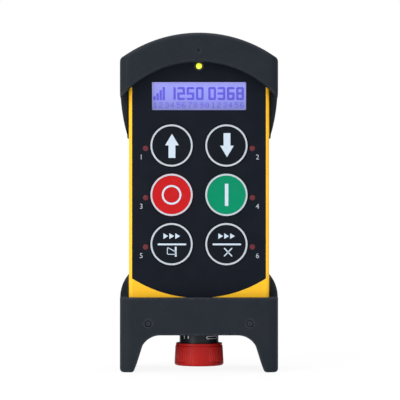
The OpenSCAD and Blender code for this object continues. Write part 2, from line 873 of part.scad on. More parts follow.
module top_bumper() {
    top_z = case_top + hood_top + over;
    color("#2b3037")
        difference() {
            intersection() {
                slab(bumper_front_y - over, bumper_rear_y + over)
                    hood_outline();
                bumper_plan(skirt_z - over, top_z);
                hood_drum();
            }
            case_form(bumper_fit);
            rod(0, visor_z, visor_r, bumper_front_y - over, side_front_y);
            rod(0, visor_z, visor_r, side_rear_y, bumper_rear_y + over);
            side_corner(side_front_y, skirt_z - run_past, -1, -1);
            side_corner(side_rear_y, skirt_z - run_past, 1, -1);
            rod(0, case_top - dimple_drop, dimple_r, bumper_front_y - over, bumper_front_y + dimple_depth);
            at_hood_screws()
                bumper_screw_holes(1);
        }
}

// Recess and shank hole for a bumper screw, at the rear for end 1 and at the front for end -1
module bumper_screw_holes(end) {
    mirror([0, (1 - end) / 2, 0]) {
        face_y = end > 0 ? bumper_rear_y : -bumper_front_y;
        case_y = end > 0 ? case_rear : case_front;
        rod(0, 0, bumper_head_r + 2 * screw_fit, face_y - bumper_head_sunk - bumper_head_h, face_y + over);
        rod(0, 0, bumper_screw_r + 2 * screw_fit, case_y - over, face_y);
    }
}

module bumper_screw(end) {
    mirror([0, (1 - end) / 2, 0]) {
        face_y = end > 0 ? bumper_rear_y : -bumper_front_y;
        case_y = end > 0 ? case_rear : case_front;
        head_y = face_y - bumper_head_sunk;
        difference() {
            union() {
                rod(0, 0, bumper_head_r, head_y - bumper_head_h, head_y);
                rod(0, 0, bumper_screw_r, case_y - bumper_screw_grip + end_gap, head_y - bumper_head_h / 2);
            }
            drive_recess(bumper_head_r, head_y, bumper_head_h);
        }
    }
}

module bumper_screws() {
    color("#3a3d42") {
        at_boot_screws() {
            bumper_screw(-1);
            bumper_screw(1);
        }
        at_hood_screws()
            bumper_screw(1);
    }
}

// The passage between the legs: sloping sides, round upper corners, flat roof
module passage_outline() {
    corner_z = leg_h - passage_r;
    corner_x = (foot_inner * cos(leg_slope) - passage_r - corner_z * sin(leg_slope)) / cos(leg_slope);
    touch_x = corner_x + passage_r * cos(leg_slope);
    touch_z = corner_z + passage_r * sin(leg_slope);
    foot_x = foot_inner + over * tan(leg_slope);
    polygon([
        [-foot_x, -over],
        [foot_x, -over],
        [touch_x, touch_z],
        [corner_x, corner_z],
        [-corner_x, corner_z],
        [-touch_x, touch_z]
    ]);
    for (side = [-1, 1])
        translate([side * corner_x, corner_z])
            circle(passage_r);
    translate([-corner_x, ground])
        square([2 * corner_x, leg_h]);
}

// The boot's outline, up to the tops of its ears
module boot_outline() {
    translate([-bumper_half, foot_edge_r])
        square([2 * bumper_half, boot_top_z - foot_edge_r]);
    translate([foot_edge_r - bumper_half, ground])
        square([2 * (bumper_half - foot_edge_r), foot_edge_r + over]);
    for (side = [-1, 1]) {
        translate([side * (bumper_half - foot_edge_r), foot_edge_r])
            circle(foot_edge_r);
        intersection() {
            translate([side * ear_x, boot_top_z])
                circle(ear_r);
            translate([-bumper_half - over, boot_top_z - over])
                square([2 * (bumper_half + over), ear_r + 2 * over]);
        }
    }
}

module bottom_bumper() {
    color("#2b3037")
        difference() {
            intersection() {
                slab(bumper_front_y - over, bumper_rear_y + over)
                    boot_outline();
                bumper_plan(ground - over, boot_top_z + ear_r + over);
            }
            case_form(bumper_fit);
            brick(2 * (bumper_half + over), bumper_front_y - over, side_front_y,
                boot_top_z, boot_top_z + ear_r + over);
            brick(2 * (bumper_half + over), side_rear_y, bumper_rear_y + over,
                boot_top_z, boot_top_z + ear_r + over);
            side_corner(side_front_y, ear_top_z, -1, 1);
            side_corner(side_rear_y, ear_top_z, 1, 1);
            slab(bumper_front_y - over, bumper_rear_y + over)
                passage_outline();
            post(collar_r + collar_gap, leg_h - over, case_low + over);
            at_boot_screws() {
                bumper_screw_holes(-1);
                bumper_screw_holes(1);
            }
        }
}

// The foil's outline: arched top, and a lower edge that sags between its corners
module foil_outline(inset) {
    low_z = case_low + foil_low;
    intersection() {
        arched(foil_half - inset, low_z - over, case_arch_r - foil_drop - inset, case_arch_z);
        union() {
            translate([0, low_z + foil_low_r])
                circle(foil_low_r - inset);
            translate([-2 * foil_half, low_z + foil_low_r])
                square([4 * foil_half, case_h]);
        }
    }
}

module keypad_foil() {
    color("#1f232a")
        difference() {
            slab(front_y, window_y)
                foil_outline(0);
            at_keys()
                rod(0, 0, key_r + key_gap, front_y - over, window_y + over);
            at_indicators()
                rod(0, 0, indicator_r + lens_fit, front_y - over, window_y + over);
            rod(0, status_z, status_r + lens_fit, front_y - over, window_y + over);
            lcd_cut(0, front_y - over, window_y + over);
        }
}

// Keys count from the left, from the top row down
module at_key(number) {
    row = floor((number - 1) / 2);
    side = 2 * ((number - 1) % 2) - 1;
    translate([side * key_columns / 2, 0, key_top_z - row * key_pitch])
        children();
}

key_colours = ["#1f232a", "#1f232a", "#d72a2e", "#129169", "#1f232a", "#1f232a"];

module key(number) {
    color(key_colours[number - 1])
        at_key(number) {
            difference() {
                rod(0, 0, key_r, key_face_y, key_back_y);
                rod(0, 0, key_r - rim_w, key_face_y - over, key_face_y + rim_h);
            }
            rod(0, 0, stem_r, key_back_y, stem_end_y);
            rod(0, 0, snap_r, snap_y, stem_end_y);
        }
}

module key_plunger(number) {
    color("dimgray")
        at_key(number)
            rod(0, 0, plunger_r, stem_end_y, stem_end_y + plunger_len);
}

module switch_housings() {
    color("#222222")
        at_keys()
            difference() {
                brick(switch_w, switch_y, board_y, -switch_w / 2, switch_w / 2);
                rod(0, 0, plunger_r + plunger_fit, switch_y - over,
                    stem_end_y + plunger_len + key_travel + seat_gap);
            }
}

module lcd_window() {
    color("#b8c4ff", 0.4)
        lcd_cut(window_lip, window_y, web_y);
}

module lcd_panel() {
    color("#9696f0")
        lcd_cut(panel_margin, panel_y + lcd_fit, panel_y + lcd_fit + panel_t);
}

module lcd_backlight() {
    color("white")
        lcd_cut(panel_margin, panel_y + lcd_fit + panel_t, board_y);
}

// A lens with its collar behind the front wall
module lens(r, stand) {
    rod(0, 0, r, front_y - stand, lens_end_y);
    rod(0, 0, r + lens_flange, inner_front_y, inner_front_y + lens_flange_t);
}

module status_lens() {
    color("#dcfa28")
        translate([0, 0, status_z])
            lens(status_r, status_stand);
}

module indicator_lenses() {
    color("#6e3234")
        at_indicators()
            lens(indicator_r, indicator_stand);
}

module board_leds() {
    color("ivory") {
        at_indicators()
            brick(led_w, led_y, board_y, -led_w / 2, led_w / 2);
        brick(led_w, led_y, board_y, status_z - led_w / 2, status_z + led_w / 2);
    }
}

module main_board() {
    color("darkgreen")
        difference() {
            slab(board_y, board_back_y)
                arched(board_half, board_low_z, case_arch_r - case_wall - board_gap, case_arch_z);
            at_shell_screws()
                rod(0, 0, front_post_r + board_post_gap, board_y - over, board_back_y + over);
            at_board_screws()
                rod(0, 0, board_screw_r + screw_fit, board_y - over, board_back_y + over);
        }
}

module board_screws() {
    color("silver")
        at_board_screws()
            difference() {
                union() {
                    rod(0, 0, board_head_r, board_back_y, board_back_y + board_head_h);
                    rod(0, 0, board_screw_r, board_back_y - board_screw_len, board_back_y + board_head_h / 2);
                }
                drive_recess(board_head_r, board_back_y + board_head_h, board_head_h);
            }
}

module board_chips() {
    field_h = 2 * key_pitch;
    color("#181818")
        for (chip = chip_shares)
            translate([chip[0] * board_half, 0, key_low_z + chip[1] * field_h])
                brick(chip[2] * board_half, board_back_y, board_back_y + chip_h,
                    -chip[3] * field_h / 2, chip[3] * field_h / 2);
}

module board_connectors() {
    tray_back_y = tray_floor_y - tray_wall;
    color("ivory") {
        brick(connector_w, board_back_y, tray_back_y, tray_low_z + tray_wall, tray_low_z + tray_wall + connector_h);
        brick(connector_w, board_back_y, board_back_y + connector_t, block_top_z, block_top_z + connector_h);
    }
}

module radio_module() {
    color("silver")
        brick(radio_w, board_back_y, board_back_y + radio_t,
            lcd_z - radio_len / 2, lcd_z + radio_len / 2, -radio_x);
}

module antenna() {
    color("goldenrod")
        translate([-antenna_len / 2, board_back_y + antenna_r + antenna_wire_r + seat_gap, case_top - antenna_drop])
            rotate([0, 90, 0])
                coil(antenna_r, antenna_wire_r, antenna_len, 9, 12, 5);
}

module buzzer() {
    color("#202020")
        difference() {
            rod(radio_x, lcd_z, buzzer_r, board_back_y, board_back_y + buzzer_h);
            rod(radio_x, lcd_z, buzzer_r / 6, board_back_y + buzzer_h / 2, board_back_y + buzzer_h + over);
        }
}

// The cap's side, edge and rim as a profile turned about the button's axis
module cap_profile() {
    intersection() {
        polygon([
            [0, cap_low_z],
            [cap_r + over, cap_low_z],
            [cap_r + over, cap_low_z + cap_edge_r],
            [cap_r, cap_low_z + cap_edge_r],
            [cap_rim_r, cap_rim_z],
            [0, cap_rim_z]
        ]);
        union() {
            translate([0, cap_low_z])
                square([cap_r - cap_edge_r, cap_h]);
            translate([0, cap_low_z + cap_edge_r])
                square([cap_r + over, cap_h]);
            translate([cap_r - cap_edge_r, cap_low_z + cap_edge_r])
                circle(cap_edge_r);
        }
    }
}

module stop_cap() {
    bore_low_z = cap_floor_z - shaft_grip;
    slope = atan((cap_r - cap_rim_r) / (cap_h - cap_edge_r));
    rib_mid_z = (cap_low_z + cap_edge_r + cap_rim_z) / 2;
    rib_mid_r = (cap_r + cap_rim_r) / 2 - rib_r / 2;
    color("#a5201e")
        difference() {
            union() {
                rotate_extrude()
                    cap_profile();
                for (group = [0 : 3], i = [0 : rib_count - 1])
                    rotate([0, 0, 45 + group * 90 + (i - (rib_count - 1) / 2) * rib_step])
                        translate([rib_mid_r, 0, rib_mid_z])
                            rotate([0, -slope, 0])
                                cylinder(r = rib_r, h = rib_h, center = true);
            }
            post(collar_r + collar_gap, cap_floor_z, cap_rim_z + over);
            post(shaft_r + shaft_fit, bore_low_z, cap_rim_z);
        }
}

module stop_shaft() {
    color("silver") {
        post(shaft_r, cap_floor_z - shaft_grip + seat_gap, shoulder_z + shoulder_t / 2);
        post(shoulder_rad, shoulder_z, spring_z);
        post(guide_r, shoulder_z + shoulder_t / 2, block_roof_z + stop_gap);
    }
}

module stop_collar() {
    color("#16181b")
        difference() {
            union() {
                post(collar_r, collar_low_z, case_low);
                post(neck_r, case_low - over, neck_top_z);
            }
            post(shaft_r + shaft_fit, collar_low_z - over, neck_top_z + over);
            post(shaft_r + 2 * (seal_r + seat_gap), seal_z - seal_r - seat_gap, seal_z + seal_r + seat_gap);
        }
}

module stop_nut() {
    color("silver")
        difference() {
            translate([0, 0, nut_z])
                cylinder(r = nut_r, h = nut_t, $fn = 6);
            post(neck_r + screw_fit, nut_z - over, nut_z + nut_t + over);
        }
}

module stop_seal() {
    color("#303030")
        translate([0, 0, seal_z])
            rotate_extrude()
                translate([shaft_r + seat_gap + seal_r, 0])
                    circle(seal_r);
}

module stop_spring() {
    color("lightgray")
        translate([0, 0, spring_z])
            coil(spring_r, spring_wire_r, spring_len, 5, 16);
}

module stop_contact_block() {
    guide_end_z = block_roof_z + stop_gap + stop_travel + stop_gap;
    color("#24466b")
        difference() {
            brick(block_w, -block_d / 2, block_d / 2, neck_top_z, block_top_z);
            post(shoulder_rad + block_gap, neck_top_z - over, block_roof_z);
            post(guide_r + block_gap, block_roof_z - over, guide_end_z);
        }
}

module battery_tray() {
    color("#2a2a2a") {
        difference() {
            brick(2 * (tray_half + tray_wall), tray_floor_y - tray_wall, inner_rear_y,
                tray_low_z, tray_low_z + tray_len + 2 * tray_wall);
            brick(2 * tray_half, tray_floor_y, inner_rear_y + over,
                tray_low_z + tray_wall, tray_low_z + tray_wall + tray_len);
        }
        for (side = [-1, 1])
            brick(divider_t, tray_floor_y - tray_wall / 2, tray_floor_y + divider_h,
                tray_low_z + tray_wall / 2, tray_low_z + tray_len + 1.5 * tray_wall,
                side * cell_pitch / 2);
    }
}

module battery_cells() {
    cell_low = plate_t + contact_spring_len;
    color("#3c5a3c")
        at_cells() {
            translate([0, 0, cell_low])
                cylinder(r = cell_r, h = cell_len - tip_h);
            translate([0, 0, cell_low + cell_len - 2 * tip_h])
                cylinder(r = tip_r, h = 2 * tip_h);
        }
}

module battery_springs() {
    color("silver")
        at_cells()
            translate([0, 0, plate_t])
                coil(contact_spring_r, contact_wire_r, contact_spring_len, 3);
}

module battery_contacts() {
    color("silver")
        at_cells()
            for (z = [0, tray_len - plate_t])
                translate([-plate_w / 2, -plate_w / 2, z])
                    cube([plate_w, plate_w, plate_t]);
}

module door_outline() {
    translate([0, tray_mid_z])
        round_rect(2 * door_half, door_len, door_corner_r);
}

module battery_door() {
    color("gold")
        difference() {
            slab(door_y, case_rear)
                door_outline();
            at_door_screws()
                rod(0, 0, door_screw_r + screw_fit, door_y - over, case_rear);
            at_door_screws()
                rod(0, 0, door_head_r + screw_fit, case_rear - door_head_h, case_rear + over);
        }
}

module battery_door_gasket() {
    in_w = 2 * (tray_half + door_gasket_in);
    in_h = tray_len + 2 * door_gasket_in;
    color("dimgray")
        slab(door_y - door_gasket_t, door_y)
            translate([0, tray_mid_z])
                difference() {
                    square([in_w + 2 * door_gasket_w, in_h + 2 * door_gasket_w], center = true);
                    square([in_w, in_h], center = true);
                }
}

module battery_door_screws() {
    color("silver")
        at_door_screws()
            difference() {
                union() {
                    rod(0, 0, door_head_r, case_rear - door_head_h, case_rear);
                    rod(0, 0, door_screw_r, ledge_y - door_screw_len, case_rear - door_head_h / 2);
                }
                drive_recess(door_head_r, case_rear, door_head_h);
            }
}

front_shell();
rear_shell();
shell_gasket();
shell_screws();
top_bumper();
bottom_bumper();
bumper_screws();
keypad_foil();
key(1);  // key_1
key(2);  // key_2
key(3);  // key_3
key(4);  // key_4
key(5);  // key_5
key(6);  // key_6
key_plunger(1);  // key_plunger_1
key_plunger(2);  // key_plunger_2
key_plunger(3);  // key_plunger_3
key_plunger(4);  // key_plunger_4
key_plunger(5);  // key_plunger_5
key_plunger(6);  // key_plunger_6
switch_housings();
lcd_window();
lcd_panel();
lcd_backlight();
status_lens();
indicator_lenses();
board_leds();
main_board();
board_screws();
board_chips();
board_connectors();
radio_module();
antenna();
buzzer();
stop_cap();
stop_shaft();
stop_collar();
stop_nut();
stop_seal();
stop_spring();
stop_contact_block();
battery_tray();
battery_cells();
battery_springs();
battery_contacts();
battery_door();
battery_door_gasket();
battery_door_screws();
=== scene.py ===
import json
import math

import bmesh
import bpy
from mathutils import Matrix, Vector


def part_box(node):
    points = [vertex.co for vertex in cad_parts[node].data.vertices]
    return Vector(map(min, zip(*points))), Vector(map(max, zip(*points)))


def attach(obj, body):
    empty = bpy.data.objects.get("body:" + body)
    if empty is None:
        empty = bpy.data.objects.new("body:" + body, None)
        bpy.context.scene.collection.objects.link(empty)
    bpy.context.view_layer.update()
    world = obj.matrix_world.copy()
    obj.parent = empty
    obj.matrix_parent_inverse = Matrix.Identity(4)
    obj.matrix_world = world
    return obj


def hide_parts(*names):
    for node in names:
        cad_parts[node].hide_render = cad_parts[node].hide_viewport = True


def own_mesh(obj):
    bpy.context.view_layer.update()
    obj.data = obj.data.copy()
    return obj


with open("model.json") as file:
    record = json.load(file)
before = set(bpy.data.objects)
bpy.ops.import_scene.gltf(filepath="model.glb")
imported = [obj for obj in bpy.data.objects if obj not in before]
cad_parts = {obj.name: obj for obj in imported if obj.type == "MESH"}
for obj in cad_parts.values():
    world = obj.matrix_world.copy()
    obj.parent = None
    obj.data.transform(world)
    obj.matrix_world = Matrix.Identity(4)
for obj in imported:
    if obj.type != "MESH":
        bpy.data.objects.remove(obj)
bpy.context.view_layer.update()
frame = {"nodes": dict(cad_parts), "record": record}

MM = 0.001
FRONT_TURN = (math.pi / 2, 0.0, 0.0)


# Node trees


def screen_colour(red, green, blue):
    """A colour as it is read from a screen, turned into the colour that light mixes in."""
    shares = [value / 255 for value in (red, green, blue)]
    return (*[s / 12.92 if s <= 0.04045 else ((s + 0.055) / 1.055) ** 2.4 for s in shares], 1.0)


def put(socket, value):
    """Sets an input, or links it."""
    if isinstance(value, bpy.types.NodeSocket):
        socket.id_data.links.new(value, socket)
    else:
        socket.default_value = value


def fill(node, *first, **named):
    """Fills a node's inputs, in their order or by name. A space in a name is written as _."""
    for number, value in enumerate(first):
        put(node.inputs[number], value)
    for name, value in named.items():
        put(node.inputs[name.replace("_", " ")], value)


def add_node(kind, *first, tree=None, **named):
    """Adds a node to a tree, which is the one that its inputs come from if none is given.

    Names with a capital are its inputs, the others are its options.
    """
    linked = [value for value in (*first, *named.values()) if isinstance(value, bpy.types.NodeSocket)]
    node = (tree or linked[0].id_data).nodes.new(kind)
    for name in [name for name in named if name.islower()]:
        setattr(node, name, named.pop(name))
    fill(node, *first, **named)
    return node


def shade_node(kind, *first, **named):
    """The first result of a shader node."""
    return add_node("ShaderNode" + kind, *first, **named).outputs[0]


def calculate(operation, *values, clamp=False):
    """A Math node's result."""
    return shade_node("Math", *values, operation=operation, use_clamp=clamp)


def times(first, second):
    """A product."""
    return calculate("MULTIPLY", first, second)


def minus(first, second):
    """A difference."""
    return calculate("SUBTRACT", first, second)


def spread(value, low, high, to_low=0.0, to_high=1.0):
    """A value between low and high, spread over another range and kept in it."""
    return shade_node(
        "MapRange", Value=value, From_Min=low, From_Max=high, To_Min=to_low, To_Max=to_high
    )


def mixed(share, first, second):
    """Two colours mixed by a share. A plain colour is given as it is read from a screen."""
    node = add_node("ShaderNodeMix", share, data_type="RGBA")
    for number, colour in ((6, first), (7, second)):
        put(node.inputs[number], screen_colour(*colour) if isinstance(colour, tuple) else colour)
    return node.outputs[2]


def vector_of(**axes):
    """A vector from its X, Y and Z."""
    return shade_node("CombineXYZ", **axes)


def axes_of(vector):
    """The X, Y and Z of a vector."""
    return add_node("ShaderNodeSeparateXYZ", vector).outputs


def own_place(tree):
    """The piece's own coordinates."""
    return add_node("ShaderNodeTexCoord", tree=tree).outputs["Object"]


def own_normal(tree):
    """The way the surface faces."""
    return add_node("ShaderNodeNewGeometry", tree=tree).outputs["Normal"]


def scale_for(size_mm):
    """The scale that gives a pattern that size."""
    return calculate("DIVIDE", 1 / MM, size_mm)


def noise(place, scale, detail, rough=0.5):
    """Soft noise."""
    return shade_node("TexNoise", Vector=place, Scale=scale, Detail=detail, Roughness=rough)


def cells(place, scale, **named):
    """The distances in a pattern of uneven cells."""
    return shade_node("TexVoronoi", Vector=place, Scale=scale, **named)


# Shader groups that the materials share


def shader_group(name, inputs, *outputs):
    """An empty shader node group with named inputs and outputs."""
    tree = bpy.data.node_groups.new(name, "ShaderNodeTree")
    for label, value in inputs.items():
        socket = tree.interface.new_socket(label, in_out="INPUT", socket_type="NodeSocketFloat")
        socket.default_value = value
    for label in outputs:
        tree.interface.new_socket(label, in_out="OUTPUT", socket_type="NodeSocketFloat")
    return tree, tree.nodes.new("NodeGroupInput").outputs


def mask_group(name, sizes, mask_of):
    """A group with the mask that a function makes, times its Amount."""
    tree, given = shader_group(name, {**sizes, "Amount": 0.5}, "Mask")
    mask = calculate("MULTIPLY", mask_of(tree, given), given["Amount"], clamp=True)
    add_node("NodeGroupOutput", Mask=mask)
    return tree


def moulded_grain():
    """Fine pits and bumps of a moulded or rubber surface, and wide soft patches."""
    sizes = {"Grain Size": 0.4, "Patch Size": 18.0}
    tree, given = shader_group("moulded grain", sizes, "Height", "Patches")
    place = own_place(tree)
    fine = scale_for(given["Grain Size"])
    bumps = times(noise(place, fine, 3.0, 0.6), 0.65)
    height = calculate("MULTIPLY_ADD", cells(place, fine), 0.35, bumps)
    patches = noise(place, scale_for(given["Patch Size"]), 2.0)
    add_node("NodeGroupOutput", Height=height, Patches=spread(patches, 0.3, 0.7))
    return tree


def rounded_normal(tree, radius):
    """The way the surface would face if its edges were rounded."""
    return shade_node("Bevel", Radius=radius, samples=6, tree=tree)


def worn_edges(tree, given):
    """Where a surface turns a corner, broken up as handling does: wear, and on the rubber also a painted
    highlight.
    """
    rounded = rounded_normal(tree, times(given["Reach"], MM))
    facing = add_node(
        "ShaderNodeVectorMath", rounded, own_normal(tree), operation="DOT_PRODUCT"
    ).outputs["Value"]
    corner = spread(minus(1.0, facing), 0.02, 0.22)
    broken = noise(own_place(tree), scale_for(given["Break-up Size"]), 4.0, 0.65)
    return times(corner, spread(broken, 0.38, 0.68))


def settled_dust(tree, given):
    """Fine dust: thicker on faces that look up, in drifts and single specks."""
    lying = spread(axes_of(own_normal(tree))["Z"], 0.1, 0.9, 0.25, 1.0)
    place = own_place(tree)
    drifts = noise(place, scale_for(given["Drift Size"]), 5.0)
    specks = noise(place, scale_for(given["Speck Size"]), 1.0)
    drifted, specked = spread(drifts, 0.45, 0.75), spread(specks, 0.62, 0.72)
    return times(calculate("MAXIMUM", drifted, specked), lying)


def fine_scratches(tree, given):
    """Short hairline scratches in two directions."""
    place = own_place(tree)
    across, along = scale_for(given["Width"]), scale_for(given["Length"])
    stretch = vector_of(X=along, Y=across, Z=across)
    masks = []
    for angle in (0.45, -0.8):
        leaning = shade_node("VectorRotate", Vector=place, Angle=angle, rotation_type="Y_AXIS")
        drawn = shade_node("VectorMath", leaning, stretch, operation="MULTIPLY")
        masks.append(spread(noise(drawn, 1.0, 0.0), 0.72, 0.78))
    return calculate("MAXIMUM", *masks)


def soiled_recess(tree, given):
    """Painted shade: front faces that are set back from the front are darkened as if in shadow."""
    ahead = calculate("DIVIDE", axes_of(own_place(tree))["Y"], -MM)
    set_back = spread(ahead, given["End"], given["Start"], 1.0, 0.0)
    forwards = times(axes_of(own_normal(tree))["Y"], -1.0)
    return times(set_back, spread(forwards, 0.3, 0.8))


MOULDED_GRAIN = moulded_grain()
EDGE_WEAR_AND_HIGHLIGHT = mask_group("edge wear and highlight", {"Reach": 0.5, "Break-up Size": 2.5}, worn_edges)
SETTLED_DUST = mask_group("settled dust", {"Drift Size": 9.0, "Speck Size": 0.5}, settled_dust)
FINE_SCRATCHES = mask_group("fine scratches", {"Width": 0.15, "Length": 9.0}, fine_scratches)
# Painted shade on the front faces that are set back from the front
PAINTED_RECESS_SHADE = mask_group("painted recess shade", {"Start": 19.0, "End": 15.5}, soiled_recess)


def placed_group(tree, group, **values):
    """A shader node group, placed in a material with its own values."""
    return add_node("ShaderNodeGroup", tree=tree, node_tree=group, **values).outputs


def placed_mask(material, group, amount, **values):
    """The mask of a group placed in a material."""
    return placed_group(material.node_tree, group, Amount=amount, **values)["Mask"]


# Materials


def empty_material(name):
    """A material without nodes, and its tree."""
    material = bpy.data.materials.new(name)
    material.use_nodes = True
    material.node_tree.nodes.clear()
    return material, material.node_tree


def grained_material(name, grain_mm, patch_mm):
    """A material with a Principled shader and the moulded grain, and its shader and grain."""
    material, tree = empty_material(name)
    shader = add_node("ShaderNodeBsdfPrincipled", tree=tree)
    add_node("ShaderNodeOutputMaterial", Surface=shader.outputs[0])
    grain = placed_group(tree, MOULDED_GRAIN, Grain_Size=grain_mm, Patch_Size=patch_mm)
    return material, shader, grain


def toned(grain, share, colour, tone):
    """A colour that turns into a second one over the patches, by that share."""
    return mixed(times(grain["Patches"], share), colour, tone)


def patchy(grain, low, high):
    """A value that runs from low to high over the patches."""
    return spread(grain["Patches"], 0.0, 1.0, low, high)


def raised_where(mask, amount, value):
    """A value that is higher where a mask is, kept between 0 and 1."""
    return calculate("MULTIPLY_ADD", mask, amount, value, clamp=True)


def lay_relief(shader, height, strength, distance_mm, edge_mm):
    """Bumps on a surface whose edges catch the light as if they were rounded."""
    bump = shade_node(
        "Bump", Height=height, Strength=strength, Distance=distance_mm * MM,
        Normal=rounded_normal(shader.id_data, edge_mm * MM),
    )
    fill(shader, Normal=bump)


# The black of the painted shade on set-back front faces
PAINTED_SHADE_BLACK = (10, 10, 11)
DUST = (150, 146, 140)
METAL_DUST = (120, 116, 110)
PINHOLE = (60, 62, 68)


def moulded(
    name, colour, tone, rough, grain_mm=0.35, relief=0.25, relief_mm=0.05, patch_mm=18.0, edge_mm=0.25,
    wear_and_highlight=None, wear_and_highlight_amount=0.3, dust=0.1, scratches=0.0, specular=0.5, coat=0.0, recess=0.0,
):
    """Moulded plastic or rubber: grain, soft patches, lighter edges, dust and hairline scratches.

    The lighter edges are wear, and on the rubber also a painted highlight.
    The recess is the share of black painted as shade on front faces set back from the front.
    The scratches have the colour of the lighter edges.
    """
    material, shader, grain = grained_material(name, grain_mm, patch_mm)
    shade = toned(grain, 0.5, colour, tone)
    roughness = patchy(grain, rough - 0.05, rough + 0.05)
    # Lighter edges: wear, and on the rubber also a painted highlight
    if wear_and_highlight:
        edges = placed_mask(material, EDGE_WEAR_AND_HIGHLIGHT, wear_and_highlight_amount, Reach=edge_mm * 2.5)
        shade = mixed(edges, shade, wear_and_highlight)
    # Painted shade: set-back front faces are darkened
    if recess:
        shade = mixed(placed_mask(material, PAINTED_RECESS_SHADE, recess), shade, PAINTED_SHADE_BLACK)
    if scratches:
        lines = placed_mask(material, FINE_SCRATCHES, scratches)
        shade = mixed(lines, shade, wear_and_highlight)
        roughness = raised_where(lines, 0.2, roughness)
    film = placed_mask(material, SETTLED_DUST, dust)
    shade = mixed(film, shade, DUST)
    roughness = raised_where(film, 0.5, roughness)
    fill(shader, Base_Color=shade, Roughness=roughness)
    fill(shader, Specular_IOR_Level=specular, Coat_Weight=coat, Coat_Roughness=0.25)
    lay_relief(shader, grain["Height"], relief, relief_mm, edge_mm)
    return material


def drawn_metal(name, colour, tone, rough, along="Z"):
    """Metal with fine lines along one axis and duller patches."""
    material, shader, grain = grained_material(name, 0.5, 6.0)
    fine = 1 / (0.12 * MM)
    stretch = [fine * 0.03 if axis == along else fine for axis in "XYZ"]
    lines = noise(shade_node("Mapping", Vector=own_place(material.node_tree), Scale=stretch), 1.0, 2.0)
    film = placed_mask(material, SETTLED_DUST, 0.12)
    shade = mixed(film, toned(grain, 1.0, colour, tone), METAL_DUST)
    streaks = spread(lines, 0.3, 0.7, rough - 0.08, rough + 0.1)
    fill(shader, Base_Color=shade, Roughness=raised_where(film, 0.4, streaks), Metallic=1.0)
    lay_relief(shader, lines, 0.15, 0.02, 0.12)
    return material


def printed_ink(name, colour, tone):
    """Screen-printed ink: even colour with a fine mottle and small pinholes."""
    material, shader, grain = grained_material(name, 0.18, 3.0)
    pinholes = spread(grain["Height"], 0.66, 0.74, 0.0, 0.35)
    shade = mixed(pinholes, toned(grain, 0.6, colour, tone), PINHOLE)
    fill(shader, Base_Color=shade, Roughness=patchy(grain, 0.44, 0.56))
    lay_relief(shader, grain["Height"], 0.12, 0.02, 0.03)
    return material


def light_up(shader, shade, glow, roughness):
    """Gives a surface a colour that glows."""
    fill(
        shader, Base_Color=shade, Emission_Color=shade, Emission_Strength=glow, Roughness=roughness
    )


def glowing_lens(name, colour, tone, glow, rough=0.2, coat=0.5, specular=0.5):
    """A tinted lens lit from behind."""
    material, shader, grain = grained_material(name, 0.25, 2.2)
    shade = toned(grain, 0.6, colour, tone)
    light_up(shader, shade, glow, patchy(grain, rough - 0.05, rough + 0.08))
    fill(shader, Specular_IOR_Level=specular, Coat_Weight=coat, Coat_Roughness=0.08)
    lay_relief(shader, grain["Height"], 0.15, 0.03, 0.1)
    return material


def clear_window(name):
    """A clear hard-coated window with hairline scratches."""
    material, shader, grain = grained_material(name, 2.5, 14.0)
    lines = placed_mask(material, FINE_SCRATCHES, 0.6, Width=0.1, Length=6.0)
    fill(
        shader, Base_Color=screen_colour(240, 242, 255), Transmission_Weight=1.0, IOR=1.49,
        Roughness=raised_where(lines, 0.25, 0.02),
    )
    lay_relief(shader, grain["Height"], 0.02, 0.02, 0.1)
    return material


# The display's dots and the height of its view, in millimetres
DOT_PITCH, VIEW_H = 0.42, 15.2
panel_low, panel_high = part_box("lcd_panel")
panel_centre = (panel_low + panel_high) / 2


def lit_display(name):
    """A display's backlit ground: paler at the top, with a fine grid of dots."""
    material, shader, grain = grained_material(name, 0.3, 11.0)
    axes = axes_of(own_place(material.node_tree))
    rise = spread(axes["Z"], panel_centre.z - VIEW_H / 2 * MM, panel_centre.z + VIEW_H / 2 * MM)
    shade = toned(grain, 0.18, mixed(rise, (106, 112, 180), (158, 163, 244)), (150, 140, 220))
    lines = []
    for axis in "XZ":
        steps = calculate("FRACT", times(axes[axis], 1 / (DOT_PITCH * MM)))
        off_middle = calculate("ABSOLUTE", minus(steps, 0.5))
        lines.append(spread(off_middle, 0.40, 0.48, 0.0, 0.10))
    shade = mixed(calculate("MAXIMUM", *lines), shade, (190, 192, 250))
    light_up(shader, shade, 0.52, patchy(grain, 0.3, 0.4))
    return material


def display_dots(name):
    """The display's lit-through dark dots."""
    material, shader, grain = grained_material(name, 0.3, 4.0)
    shade = toned(grain, 1.0, (62, 42, 196), (72, 54, 198))
    light_up(shader, shade, 0.5, patchy(grain, 0.3, 0.4))
    return material


def circuit_board(name):
    """Lacquered board: green solder mask over copper tracks, with tinned pads."""
    material, shader, grain = grained_material(name, 0.5, 9.0)
    place = own_place(material.node_tree)
    tracks = cells(place, 1 / (5.5 * MM), Randomness=0.85, feature="DISTANCE_TO_EDGE")
    track = spread(tracks, 0.035, 0.05, 1.0, 0.0)
    pad = spread(cells(place, 1 / (3.2 * MM)), 0.12, 0.15, 1.0, 0.0)
    shade = mixed(track, toned(grain, 1.0, (18, 92, 54), (22, 108, 62)), (48, 138, 78))
    shade = mixed(pad, shade, (196, 190, 172))
    fill(shader, Base_Color=shade, Metallic=pad, Roughness=patchy(grain, 0.3, 0.42))
    lay_relief(shader, calculate("ADD", track, grain["Height"]), 0.3, 0.04, 0.1)
    return material


